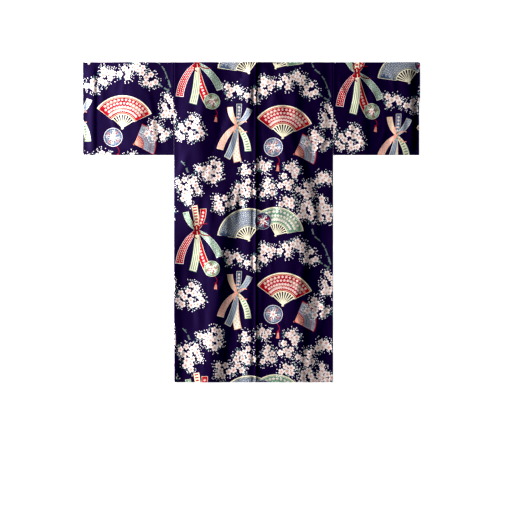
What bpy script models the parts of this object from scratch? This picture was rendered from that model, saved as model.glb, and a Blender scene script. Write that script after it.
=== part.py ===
"""A cotton yukata robe, laid flat on its front with the back up.

The robe is sewn from straight strips of cloth. Each body piece runs from the back
hem over the shoulder fold to the front hem. The sleeves are flat tubes folded at
the shoulder, the overlap panels widen the fronts, and a double collar band runs
along both fronts and across the back of the neck.

X runs from cuff to cuff, Y from hem to shoulder and Z up from the surface that the
robe lies on. The origin is the middle of the outline, on that surface. Left and
right are the wearer's, and with the back up they are -X and +X.
"""

import math
from collections import namedtuple

import bpy

# Cloth and clearances, in metres
CLOTH = 0.0012  # wall of one layer of cotton
COLLAR_CLOTH = 0.0020  # the collar band is folded double
LAYER_GAP = 0.0005  # between layers that lie on each other
SEAM_GAP = 0.0003  # between two pieces along a seam
FREE_GAP = 0.0012  # between the sleeve and the body below the armhole seam

# Sizes of the robe
ROBE_LENGTH = 1.360  # shoulder fold to hem
LEFT_BODY_WIDTH = 0.3506  # side seam to centre back seam
RIGHT_BODY_WIDTH = 0.3251
LEFT_SLEEVE_WIDTH = 0.3868  # armhole seam to cuff
RIGHT_SLEEVE_WIDTH = 0.3698
SLEEVE_DEPTH = 0.3953  # shoulder fold to the sleeve's lower seam
ARMHOLE_DEPTH = 0.200  # how far down the sleeve is sewn to the body
SIDE_OPENING_END = 0.330  # the side seam closes from here to the hem
CUFF_OPENING = 0.166  # the cuff is open down to here and sewn below
RIGHT_CUFF_STEP = 0.004  # the open cuff edge stands out past the sewn one
CUFF_TURN = 0.004  # length of the turn between the two
NECK_HALF_WIDTH = 0.085  # centre back to the neck point
OVERLAP_WIDTH = 0.150  # of an overlap panel
OVERLAP_DROP = 0.230  # shoulder fold to the overlap panel's top point
COLLAR_WIDTH = 0.055

TOTAL_WIDTH = LEFT_SLEEVE_WIDTH + LEFT_BODY_WIDTH + RIGHT_BODY_WIDTH + RIGHT_SLEEVE_WIDTH

# Places in the frame
SHOULDER_Y = ROBE_LENGTH / 2
HEM_Y = -ROBE_LENGTH / 2
SLEEVE_BOTTOM_Y = SHOULDER_Y - SLEEVE_DEPTH
ARMHOLE_END_Y = SHOULDER_Y - ARMHOLE_DEPTH
SIDE_SEAM_TOP_Y = SHOULDER_Y - SIDE_OPENING_END
CUFF_OPENING_Y = SHOULDER_Y - CUFF_OPENING
LEFT_CUFF_X = -TOTAL_WIDTH / 2
RIGHT_CUFF_X = TOTAL_WIDTH / 2
LEFT_SIDE_X = LEFT_CUFF_X + LEFT_SLEEVE_WIDTH
CENTRE_X = LEFT_SIDE_X + LEFT_BODY_WIDTH
RIGHT_SIDE_X = CENTRE_X + RIGHT_BODY_WIDTH

# The neckline slants at one slope from the neck point to the overlap panel's edge.
NECKLINE_SLOPE = OVERLAP_DROP / NECK_HALF_WIDTH
COLLAR_END_DROP = OVERLAP_DROP + OVERLAP_WIDTH * NECKLINE_SLOPE
NECKLINE_RUN = math.hypot(1.0, NECKLINE_SLOPE)
COLLAR_SHIFT_X = COLLAR_WIDTH * NECKLINE_SLOPE / NECKLINE_RUN
COLLAR_SHIFT_Y = COLLAR_WIDTH / NECKLINE_RUN
# Where the mitre at the neck point ends on the collar's free edge
COLLAR_MITRE_X = COLLAR_WIDTH * (NECKLINE_RUN + 1.0) / NECKLINE_SLOPE - NECK_HALF_WIDTH

# How softly an upper layer comes down beside the edge of a lower one
EDGE_MARGIN = 0.030  # it stays at full height this far past the edge
EDGE_FALL = 0.040  # and comes down over this width
BACK_SPARE = 0.012  # the back layer bridges a little further

# Where the collar's crossing starts, below the back of the neck
CROSSING_START_Y = SHOULDER_Y - COLLAR_WIDTH
CROSSING_FULL_Y = SHOULDER_Y - (NECK_HALF_WIDTH * NECKLINE_SLOPE
                                - COLLAR_WIDTH * NECKLINE_RUN)
CROSSING_SPARE = 0.0005

# Soft folds of the back and the sleeves. A fold is a ridge that drifts from x_top
# at y_top to x_bottom at y_bottom. Its left flank rises over rise and its right
# flank falls over fall.
Fold = namedtuple("Fold", "x_top x_bottom y_top y_bottom rise fall height")
FOLDS = (
    Fold(-0.672, -0.674, 0.72, 0.20, 0.040, 0.022, 0.0035),
    Fold(-0.497, -0.478, 0.72, 0.20, 0.140, 0.120, 0.0075),
    Fold(-0.178, -0.255, 0.72, -0.05, 0.135, 0.095, 0.0080),
    Fold(-0.120, -0.175, 0.14, -0.72, 0.115, 0.080, 0.0100),
    Fold(-0.012, -0.012, 0.72, 0.42, 0.110, 0.030, 0.0028),
    Fold(-0.004, -0.008, 0.72, -0.72, 0.045, 0.026, 0.0042),
    Fold(-0.334, -0.334, -0.12, -0.80, 0.020, 0.048, 0.0045),
    Fold(0.155, 0.200, 0.72, -0.72, 0.130, 0.130, 0.0075),
    Fold(0.285, 0.295, 0.72, 0.16, 0.045, 0.045, 0.0030),
    Fold(0.352, 0.352, -0.05, -0.80, 0.045, 0.020, 0.0028),
    Fold(0.462, 0.470, 0.72, 0.20, 0.050, 0.045, 0.0030),
    Fold(0.668, 0.676, 0.72, 0.20, 0.115, 0.040, 0.0055),
)
FOLD_END_FADE = 0.16  # a fold that ends inside the cloth dies away over this length
SEAM_PINCH = 0.035  # folds flatten over this width beside an armhole seam
PINCH_END = 0.060  # and are free this far below the sleeve
SHOULDER_PINCH = 0.060
SHOULDER_KEEP = 0.35  # share of a fold's height left at the shoulder fold

# How finely the cloth is divided
BODY_CELL = 0.0235
ROW_CELL = 0.0520
SLEEVE_CELL = 0.0300
SLEEVE_ROW_CELL = 0.0420
COLLAR_CELL = 0.0260
COLLAR_STRIPS = 3  # across the band
ROLL_STEPS = 4
SHOULDER_ROWS = (0.070, 0.030, 0.010)  # extra rows of a body, down from the shoulder fold
SLEEVE_TOP_ROWS = (0.050, 0.015)  # the same for a sleeve
SLEEVE_END_ROWS = (0.012, 0.035)  # and up from its lower edge

INDIGO = (0.016, 0.010, 0.055, 1.0)


def smooth(share):
    """A soft step from 0 to 1."""
    share = min(max(share, 0.0), 1.0)
    return share * share * (3.0 - 2.0 * share)


def distance_outside(corners, x, y):
    """Distance from a point to a convex outline, 0 inside. Corners go anticlockwise."""
    inside = True
    nearest = math.inf
    for (ax, ay), (bx, by) in zip(corners, corners[1:] + corners[:1]):
        edge_x, edge_y = bx - ax, by - ay
        from_x, from_y = x - ax, y - ay
        if edge_x * from_y - edge_y * from_x < 0.0:
            inside = False
        along = (from_x * edge_x + from_y * edge_y) / (edge_x**2 + edge_y**2)
        along = min(max(along, 0.0), 1.0)
        nearest = min(nearest, math.hypot(from_x - along * edge_x, from_y - along * edge_y))
    return 0.0 if inside else nearest


def anticlockwise(corners):
    """The same corners in anticlockwise order."""
    area = sum(
        ax * by - bx * ay
        for (ax, ay), (bx, by) in zip(corners, corners[1:] + corners[:1])
    )
    return corners if area > 0.0 else corners[::-1]


def outline(side, corners):
    """Corners given as (distance across the front, drop from the shoulder), placed in the
    frame. A front's distances run from its own side seam (negative) past the centre."""
    across = 1.0 if side == "left" else -1.0
    return anticlockwise([(CENTRE_X + across * x, SHOULDER_Y - drop) for x, drop in corners])


def front_outlines(side, width):
    """Convex outlines of one front, its overlap panel and its stretch of the collar."""
    neck, drop, overlap = NECK_HALF_WIDTH, OVERLAP_DROP, OVERLAP_WIDTH
    hem = ROBE_LENGTH
    front = outline(side, [(-width, 0), (-width, hem), (0, hem), (0, drop), (-neck, 0)])
    panel = outline(side, [(0, drop), (0, hem), (overlap, hem), (overlap, COLLAR_END_DROP)])
    collar = outline(
        side,
        [
            (-neck, 0),
            (overlap, COLLAR_END_DROP),
            (overlap + COLLAR_SHIFT_X, COLLAR_END_DROP - COLLAR_SHIFT_Y),
            (-neck + COLLAR_WIDTH * NECKLINE_RUN / NECKLINE_SLOPE, 0),
        ],
    )
    return front, panel, collar


LEFT_OUTLINES = front_outlines("left", LEFT_BODY_WIDTH)
RIGHT_OUTLINES = front_outlines("right", RIGHT_BODY_WIDTH)
NECK_OUTLINE = outline(
    "left",
    [
        (-NECK_HALF_WIDTH, 0),
        (NECK_HALF_WIDTH, 0),
        (-COLLAR_MITRE_X, COLLAR_WIDTH),
        (COLLAR_MITRE_X, COLLAR_WIDTH),
    ],
)


def cover(outlines, x, y, spare=0.0):
    """1 over the outlines and just beside them, then a soft fall to 0."""
    distance = min(distance_outside(corners, x, y) for corners in outlines)
    return 1.0 - smooth((distance - EDGE_MARGIN - spare) / EDGE_FALL)


def right_front_base(x, y, spare=0.0):
    """Height of the right front's underside, which lies over the left front."""
    over_cloth = (CLOTH + LAYER_GAP) * cover(LEFT_OUTLINES, x, y, spare)
    over_collar = (COLLAR_CLOTH - CLOTH) * cover(LEFT_OUTLINES[2:], x, y, spare)
    return over_cloth + over_collar


def back_base(x, y):
    """Height of the back's underside where it has no fold."""
    more = COLLAR_CLOTH - CLOTH
    left_top = CLOTH + more * cover(LEFT_OUTLINES[2:], x, y, BACK_SPARE)
    right_top = right_front_base(x, y, BACK_SPARE) + CLOTH
    right_top *= cover(RIGHT_OUTLINES, x, y, BACK_SPARE)
    right_top += more * cover(RIGHT_OUTLINES[2:], x, y, BACK_SPARE)
    neck_top = COLLAR_CLOTH * cover([NECK_OUTLINE], x, y, BACK_SPARE)
    return LAYER_GAP + max(left_top, right_top, neck_top)


def pinch(x, y):
    """How much of a fold's height is left near seams and at the shoulder."""
    beside_seams = min(abs(x - LEFT_SIDE_X), abs(x - RIGHT_SIDE_X))
    held = smooth((y - SLEEVE_BOTTOM_Y + PINCH_END) / PINCH_END)
    share = 1.0 - held * (1.0 - smooth(beside_seams / SEAM_PINCH))
    if x < LEFT_SIDE_X or x > RIGHT_SIDE_X:
        share *= smooth((y - SLEEVE_BOTTOM_Y) / SEAM_PINCH)
        to_cuff = min(x - LEFT_CUFF_X, RIGHT_CUFF_X - x)
        sewn = smooth((CUFF_OPENING_Y - y) / SEAM_PINCH)
        share *= 1.0 - sewn * (1.0 - smooth(to_cuff / SEAM_PINCH))
    shoulder = smooth((SHOULDER_Y - y) / SHOULDER_PINCH)
    return share * (SHOULDER_KEEP + (1.0 - SHOULDER_KEEP) * shoulder)


def fold_height(x, y):
    """How far the soft folds lift the upper layer off what it lies on."""
    total = 0.0
    for fold in FOLDS:
        along = (fold.y_top - y) / (fold.y_top - fold.y_bottom)
        ridge = fold.x_top + (fold.x_bottom - fold.x_top) * min(max(along, 0.0), 1.0)
        flank = fold.rise if x < ridge else fold.fall
        fade = smooth((fold.y_top - y) / FOLD_END_FADE + 0.5)
        fade *= smooth((y - fold.y_bottom) / FOLD_END_FADE + 0.5)
        total += fold.height * fade * smooth(1.0 - abs(x - ridge) / flank)
    return total * pinch(x, y)


def back_middle(x, y):
    """Height of the middle of the back's wall."""
    return back_base(x, y) + fold_height(x, y) + CLOTH / 2


def front_middle(side, x, y):
    """Height of the middle of a front's wall."""
    base = right_front_base(x, y) if side == "right" else 0.0
    return base + CLOTH / 2


def divide(start, stop, cell):
    """Evenly spaced values from start to stop, about a cell apart."""
    count = max(1, round(abs(stop - start) / cell))
    return [start + (stop - start) * i / count for i in range(count + 1)]


def divide_through(stops, cell):
    """Values through every stop, evenly spaced between stops."""
    values = [stops[0]]
    for start, stop in zip(stops, stops[1:]):
        values += divide(start, stop, cell)[1:]
    return values


def roll(edge_y, outward, upper_z, lower_z):
    """Points (y, z) of the round turn from an upper layer to a lower one at edge_y."""
    radius = (upper_z - lower_z) / 2
    middle_z = (upper_z + lower_z) / 2
    start_y = edge_y - outward * (radius + CLOTH / 2)
    points = []
    for step in range(ROLL_STEPS + 1):
        angle = math.pi * step / ROLL_STEPS
        y = start_y + outward * radius * math.sin(angle)
        points.append((y, middle_z + radius * math.cos(angle)))
    return points


class Surface:
    """The middle surface of a piece of cloth, gathered point by point."""

    def __init__(self):
        self.points = []
        self.faces = []

    def add(self, x, y, z):
        self.points.append((x, y, z))
        return len(self.points) - 1

    def join_rows(self, rows):
        """Quads between each row of point numbers and the next."""
        for lower, upper in zip(rows, rows[1:]):
            for i in range(min(len(lower), len(upper)) - 1):
                self.faces.append((lower[i], lower[i + 1], upper[i + 1], upper[i]))


def cotton(name):
    """Indigo cotton."""
    material = bpy.data.materials.get(name) or bpy.data.materials.new(name)
    material.use_nodes = True
    shader = material.node_tree.nodes["Principled BSDF"]
    shader.inputs["Base Color"].default_value = INDIGO
    shader.inputs["Roughness"].default_value = 0.9
    shader.inputs["Metallic"].default_value = 0.0
    return material


def make_wall(name, surface, thickness, collection):
    """One named piece: its middle surface with half the wall on each side."""
    mesh = bpy.data.meshes.new(name)
    mesh.from_pydata(surface.points, [], surface.faces)
    mesh.update()
    piece = bpy.data.objects.new(name, mesh)
    collection.objects.link(piece)
    mesh.materials.append(cotton(name + "_cotton"))
    wall = piece.modifiers.new("Wall", "SOLIDIFY")
    wall.thickness = thickness
    wall.offset = 0.0
    wall.use_even_offset = True
    wall.use_quality_normals = True
    return piece


def body_edge_x(side, y):
    """The middle surface's side edge: close to the armhole seam above, and half a wall
    inside the rolled side seam below."""
    closed = smooth((SIDE_SEAM_TOP_Y + ROW_CELL - y) / ROW_CELL)
    inset = SEAM_GAP / 2 + (CLOTH / 2 - SEAM_GAP / 2) * closed
    return LEFT_SIDE_X + inset if side == "left" else RIGHT_SIDE_X - inset


def neckline_x(side, y):
    """Inner edge of a front: the centre line, or the slanted neckline above it."""
    above = max(0.0, OVERLAP_DROP - (SHOULDER_Y - y)) / NECKLINE_SLOPE
    clear = SEAM_GAP / 2 if above == 0.0 else SEAM_GAP
    return CENTRE_X - above - clear if side == "left" else CENTRE_X + above + clear


def make_body(side, collection):
    """One body piece, from the back hem over the shoulder fold to the front hem. Its
    side edges are closed by the side seam below the side opening."""
    toward = 1.0 if side == "left" else -1.0
    neck_x = neckline_x(side, SHOULDER_Y)
    seam_x = CENTRE_X - toward * SEAM_GAP / 2
    side_x = body_edge_x(side, SHOULDER_Y)
    outer = [(x - side_x) / (neck_x - side_x) for x in divide(side_x, neck_x, BODY_CELL)]
    neck_columns = divide(neck_x, seam_x, BODY_CELL * 0.75)[1:]
    near_shoulder = [SHOULDER_Y - drop for drop in SHOULDER_ROWS]
    stops = [HEM_Y, SIDE_SEAM_TOP_Y, SHOULDER_Y - OVERLAP_DROP, near_shoulder[0]]
    rows = divide_through(stops, ROW_CELL) + near_shoulder[1:]
    surface = Surface()

    back_rows = []
    for y in rows:
        edge = body_edge_x(side, y)
        xs = [edge + share * (neck_x - edge) for share in outer] + neck_columns
        back_rows.append([surface.add(x, y, back_middle(x, y)) for x in xs])
    columns = [side_x + share * (neck_x - side_x) for share in outer]
    turns = [
        roll(SHOULDER_Y, 1.0, back_middle(x, SHOULDER_Y), front_middle(side, x, SHOULDER_Y))
        for x in columns
    ]
    first = [surface.add(x, *turn[0]) for x, turn in zip(columns, turns)]
    first += [surface.add(x, SHOULDER_Y, back_middle(x, SHOULDER_Y)) for x in neck_columns]
    back_rows.append(first)
    surface.join_rows(back_rows)

    folded = [first[: len(columns)]]
    for step in range(1, ROLL_STEPS + 1):
        folded.append([surface.add(x, *turn[step]) for x, turn in zip(columns, turns)])
    front_rows = []
    for y in reversed(rows):
        edge = body_edge_x(side, y)
        inner = neckline_x(side, y)
        xs = [edge + share * (inner - edge) for share in outer]
        front_rows.append([surface.add(x, y, front_middle(side, x, y)) for x in xs])
    surface.join_rows(folded + front_rows)

    # The side seam joins the two layers' outer edges.
    front_rows.reverse()
    sewn = [i for i, y in enumerate(rows) if y <= SIDE_SEAM_TOP_Y + 1e-6]
    for low, high in zip(sewn, sewn[1:]):
        surface.faces.append(
            (back_rows[low][0], back_rows[high][0], front_rows[high][0], front_rows[low][0])
        )
    if side == "left":
        surface.faces = [face[::-1] for face in surface.faces]
    return make_wall("body_" + side, surface, CLOTH, collection)


def sleeve_seam_x(side, y):
    """The sleeve's body-side edge: sewn above the end of the armhole seam, free below."""
    free = smooth((ARMHOLE_END_Y - y) / ROW_CELL)
    gap = SEAM_GAP / 2 + (FREE_GAP - SEAM_GAP / 2) * free
    return LEFT_SIDE_X - gap if side == "left" else RIGHT_SIDE_X + gap


def cuff_x(side, y):
    """The sleeve's outer edge. The right cuff steps in where it is sewn shut."""
    sewn = smooth((CUFF_OPENING_Y - y) / CUFF_TURN + 0.5)
    if side == "left":
        return LEFT_CUFF_X + CLOTH / 2 * sewn
    return RIGHT_CUFF_X - (CLOTH / 2 + RIGHT_CUFF_STEP) * sewn


def make_sleeve(side, collection):
    """One sleeve: a flat tube folded at the shoulder and seamed below, open at the body
    and at the upper part of the cuff."""
    width = LEFT_SLEEVE_WIDTH if side == "left" else RIGHT_SLEEVE_WIDTH
    shares = divide(0.0, 1.0, SLEEVE_CELL / width)
    near_shoulder = [SHOULDER_Y - drop for drop in SLEEVE_TOP_ROWS]
    near_end = [SLEEVE_BOTTOM_Y + rise for rise in SLEEVE_END_ROWS]
    cuff_turn = [CUFF_OPENING_Y - CUFF_TURN / 2, CUFF_OPENING_Y + CUFF_TURN / 2]
    rows = near_end[:1]
    rows += divide_through(near_end[1:] + cuff_turn + near_shoulder[:1], SLEEVE_ROW_CELL)
    rows += near_shoulder[1:]
    surface = Surface()

    def place(share, y):
        start = sleeve_seam_x(side, y)
        return start + share * (cuff_x(side, y) - start)

    def turn(edge_y, outward, share):
        x = place(share, edge_y)
        return [(x, *point) for point in roll(edge_y, outward, back_middle(x, edge_y), CLOTH / 2)]

    upper = [
        [surface.add(place(s, y), y, back_middle(place(s, y), y)) for s in shares] for y in rows
    ]
    top = [turn(SHOULDER_Y, 1.0, s) for s in shares]
    top_rows = [[surface.add(*points[i]) for points in top] for i in range(ROLL_STEPS + 1)]
    lower = [[surface.add(place(s, y), y, CLOTH / 2) for s in shares] for y in reversed(rows)]
    bottom = [turn(SLEEVE_BOTTOM_Y, -1.0, s)[::-1] for s in shares]
    bottom_rows = [[surface.add(*points[i]) for points in bottom] for i in range(ROLL_STEPS + 1)]
    ring = upper + top_rows + lower + bottom_rows
    surface.join_rows(ring + ring[:1])

    # The cuff's sewn part joins the ends of the two layers.
    lower.reverse()
    sewn = [i for i, y in enumerate(rows) if y < CUFF_OPENING_Y]
    for low, high in zip(sewn, sewn[1:]):
        surface.faces.append((upper[low][-1], lower[low][-1], lower[high][-1], upper[high][-1]))
    corner = [lower[0][-1]] + [row[-1] for row in bottom_rows] + [upper[0][-1]]
    surface.faces.append(tuple(corner[::-1]))
    if side == "left":
        surface.faces = [face[::-1] for face in surface.faces]
    return make_wall("sleeve_" + side, surface, CLOTH, collection)


def make_overlap(side, collection):
    """The overlap panel, sewn to the front's centre edge and cut along the neckline."""
    across = 1.0 if side == "left" else -1.0
    surface = Surface()
    rows = []
    columns = divide(SEAM_GAP / 2, OVERLAP_WIDTH, BODY_CELL * 1.25)
    for share in divide(0.0, 1.0, ROW_CELL / (ROBE_LENGTH - OVERLAP_DROP)):
        row = []
        for distance in columns:
            top = SHOULDER_Y - OVERLAP_DROP - distance * NECKLINE_SLOPE
            top -= SEAM_GAP * NECKLINE_RUN
            x = CENTRE_X + across * distance
            y = HEM_Y + share * (top - HEM_Y)
            row.append(surface.add(x, y, front_middle(side, x, y)))
        rows.append(row)
    surface.join_rows(rows)
    if side == "right":
        surface.faces = [face[::-1] for face in surface.faces]
    return make_wall("overlap_" + side, surface, CLOTH, collection)


def collar_height(x, y, on_right):
    """Height of the middle of the collar. Its right stretch climbs over the left one."""
    if not on_right:
        return COLLAR_CLOTH / 2
    climb = smooth((CROSSING_START_Y - y) / (CROSSING_START_Y - CROSSING_FULL_Y))
    return right_front_base(x, y) * climb + COLLAR_CLOTH / 2


def make_collar(collection):
    """The collar band: down the left front, across the back of the neck inside the robe
    and down the right front, with a mitre at each neck point."""
    slope = NECKLINE_SLOPE
    length_down = COLLAR_END_DROP * NECKLINE_RUN / slope
    seam_end = (OVERLAP_WIDTH, COLLAR_END_DROP)
    inner_start = (COLLAR_MITRE_X, COLLAR_WIDTH)
    full_inner = (0.0, SHOULDER_Y - CROSSING_FULL_Y + CROSSING_SPARE)
    inner_end = (seam_end[0] + COLLAR_SHIFT_X, seam_end[1] - COLLAR_SHIFT_Y)

    # Sections of one slanted stretch, each from the seam edge to the free edge
    seam_to_full = (full_inner[0] - COLLAR_SHIFT_X, full_inner[1] + COLLAR_SHIFT_Y)
    stretch = [((-NECK_HALF_WIDTH, 0.0), inner_start), (seam_to_full, full_inner)]
    for share in divide(0.0, 1.0, COLLAR_CELL / length_down)[1:]:
        seam = [a + share * (b - a) for a, b in zip(seam_to_full, seam_end)]
        free = [a + share * (b - a) for a, b in zip(full_inner, inner_end)]
        stretch.append((seam, free))

    surface = Surface()
    rows = []

    def add_section(seam, free, across, on_right):
        row = []
        for share in divide(0.0, 1.0, 1.0 / COLLAR_STRIPS):
            x = CENTRE_X + across * (seam[0] + share * (free[0] - seam[0]))
            y = SHOULDER_Y - (seam[1] + share * (free[1] - seam[1]))
            row.append(surface.add(x, y, collar_height(x, y, on_right)))
        rows.append(row)

    for seam, free in reversed(stretch):
        add_section(seam, free, 1.0, False)
    for share in divide(-1.0, 1.0, COLLAR_CELL / NECK_HALF_WIDTH)[1:-1]:
        free = (-share * COLLAR_MITRE_X, COLLAR_WIDTH)
        add_section((share * NECK_HALF_WIDTH, 0.0), free, 1.0, False)
    for seam, free in stretch:
        add_section(seam, free, -1.0, True)
    surface.join_rows(rows)
    return make_wall("collar", surface, COLLAR_CLOTH, collection)


def clear_scene():
    for item in list(bpy.data.objects):
        bpy.data.objects.remove(item, do_unlink=True)


def build_robe():
    clear_scene()
    robe = bpy.data.collections.new("yukata_robe")
    bpy.context.scene.collection.children.link(robe)
    for side in ("left", "right"):
        make_body(side, robe)
        make_sleeve(side, robe)
        make_overlap(side, robe)
    make_collar(robe)


build_robe()
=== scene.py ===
import math
import random
from collections import namedtuple
from functools import partial

import bpy
import numpy as np
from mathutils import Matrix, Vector
from mathutils.geometry import delaunay_2d_cdt


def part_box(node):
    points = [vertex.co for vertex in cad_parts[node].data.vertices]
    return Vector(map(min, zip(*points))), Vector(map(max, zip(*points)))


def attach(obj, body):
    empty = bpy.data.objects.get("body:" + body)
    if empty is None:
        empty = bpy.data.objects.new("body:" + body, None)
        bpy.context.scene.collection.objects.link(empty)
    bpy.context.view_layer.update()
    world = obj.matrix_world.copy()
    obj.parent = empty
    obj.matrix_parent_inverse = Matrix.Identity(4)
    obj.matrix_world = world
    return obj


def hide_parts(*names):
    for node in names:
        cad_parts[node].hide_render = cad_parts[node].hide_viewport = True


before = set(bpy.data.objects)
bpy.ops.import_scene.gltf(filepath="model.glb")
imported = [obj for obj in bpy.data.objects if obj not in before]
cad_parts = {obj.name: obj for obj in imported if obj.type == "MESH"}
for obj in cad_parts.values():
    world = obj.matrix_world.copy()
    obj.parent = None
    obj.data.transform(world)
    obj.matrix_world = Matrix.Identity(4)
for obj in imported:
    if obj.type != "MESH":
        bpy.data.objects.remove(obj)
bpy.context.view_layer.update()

# Cloth and clearances, in metres
CLOTH = 0.0012
COLLAR_CLOTH = 0.0020
LAYER_GAP = 0.0005
SEAM_GAP = 0.0003  # between the solids
FREE_GAP = 0.0004  # between a sleeve and the body below the armhole
SEWN_GAP = -0.00004  # sewn edges meet
EDGE_BULGE = 0.00006  # how far a cut edge rounds out

# The places of the seams and edges, from the solids
left_low, left_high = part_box("body_left")
right_low, right_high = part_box("body_right")
SHOULDER_Y = round(left_high.y, 4)
HEM_Y = round(left_low.y, 4)
SLEEVE_BOTTOM_Y = round(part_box("sleeve_left")[0].y, 4)
CENTRE_X = (left_high.x + right_low.x) / 2
SIDE_X = {"left": left_low.x - SEAM_GAP / 2, "right": right_high.x + SEAM_GAP / 2}
CUFF_X = {"left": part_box("sleeve_left")[0].x, "right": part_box("sleeve_right")[1].x}
BODY_WIDTH = {"left": CENTRE_X - SIDE_X["left"], "right": SIDE_X["right"] - CENTRE_X}
INWARD = {"left": 1.0, "right": -1.0}  # the way from a side of the robe to its centre
ROBE_LENGTH = SHOULDER_Y - HEM_Y
FRONT_END_V = 2.0 * SHOULDER_Y - HEM_Y  # flat places run on over the shoulder
SLEEVE_END_V = 2.0 * SHOULDER_Y - SLEEVE_BOTTOM_Y

# Sizes inside those edges
ARMHOLE_END_Y = SHOULDER_Y - 0.200
SIDE_SEAM_TOP_Y = SHOULDER_Y - 0.330
CUFF_OPENING_Y = SHOULDER_Y - 0.166
RIGHT_CUFF_STEP = 0.004
CUFF_TURN = 0.004
SEAM_START = 0.05  # length over which a side seam or a free edge begins
SLEEVE_SPAN = 0.3  # flat length of a sleeve that evens out the turn at its lower edge
SLEEVE_END_ZONE = 0.05  # part of it that is placed from that edge
BESIDE_SEAM = 0.002  # a folded edge is as high as the layers are this far inside it
BESIDE_EDGE = 0.004
NECK_HALF_WIDTH = 0.085
OVERLAP_WIDTH = 0.150
OVERLAP_DROP = 0.230
COLLAR_WIDTH = 0.055
NECKLINE_SLOPE = OVERLAP_DROP / NECK_HALF_WIDTH
NECKLINE_RUN = math.hypot(1.0, NECKLINE_SLOPE)
COLLAR_END_DROP = OVERLAP_DROP + OVERLAP_WIDTH * NECKLINE_SLOPE
COLLAR_SHIFT_X = COLLAR_WIDTH * NECKLINE_SLOPE / NECKLINE_RUN
COLLAR_SHIFT_Y = COLLAR_WIDTH / NECKLINE_RUN
COLLAR_MITRE_X = COLLAR_WIDTH * (NECKLINE_RUN + 1.0) / NECKLINE_SLOPE - NECK_HALF_WIDTH
CROSSING_START_Y = SHOULDER_Y - COLLAR_WIDTH
CROSSING_FULL_Y = SHOULDER_Y - (OVERLAP_DROP - COLLAR_WIDTH * NECKLINE_RUN)

# How softly an upper layer comes down beside the edge of a lower one
EDGE_MARGIN = 0.030
EDGE_FALL = 0.040
BACK_SPARE = 0.012

# The soft folds of the upper layer, about as its solids have them. rise and fall are the
# widths of a fold's left and right flanks.
Fold = namedtuple("Fold", "x_top x_bottom y_top y_bottom rise fall height")
FOLDS = [Fold(*row) for row in (
    (-0.672, -0.674, 0.72, 0.20, 0.040, 0.022, 0.0035),
    (-0.497, -0.478, 0.72, 0.20, 0.140, 0.120, 0.0075),
    (-0.178, -0.255, 0.72, -0.05, 0.135, 0.095, 0.0080),
    (-0.120, -0.175, 0.14, -0.72, 0.115, 0.080, 0.0100),
    (-0.012, -0.012, 0.72, 0.42, 0.110, 0.030, 0.0028),
    (-0.004, -0.008, 0.72, -0.72, 0.045, 0.026, 0.0042),
    (-0.334, -0.334, -0.12, -0.80, 0.020, 0.048, 0.0045),
    (0.155, 0.200, 0.72, -0.72, 0.130, 0.130, 0.0075),
    (0.285, 0.295, 0.72, 0.32, 0.045, 0.045, 0.0030),
    (0.352, 0.352, -0.05, -0.80, 0.035, 0.020, 0.0014),
    (0.462, 0.470, 0.72, 0.20, 0.050, 0.045, 0.0030),
    (0.668, 0.676, 0.72, 0.20, 0.115, 0.040, 0.0055),
)]
FOLD_END_FADE = 0.16
SEAM_PINCH = 0.035
PINCH_END = 0.060
SHOULDER_PINCH = 0.060
SHOULDER_KEEP = 0.35

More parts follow.
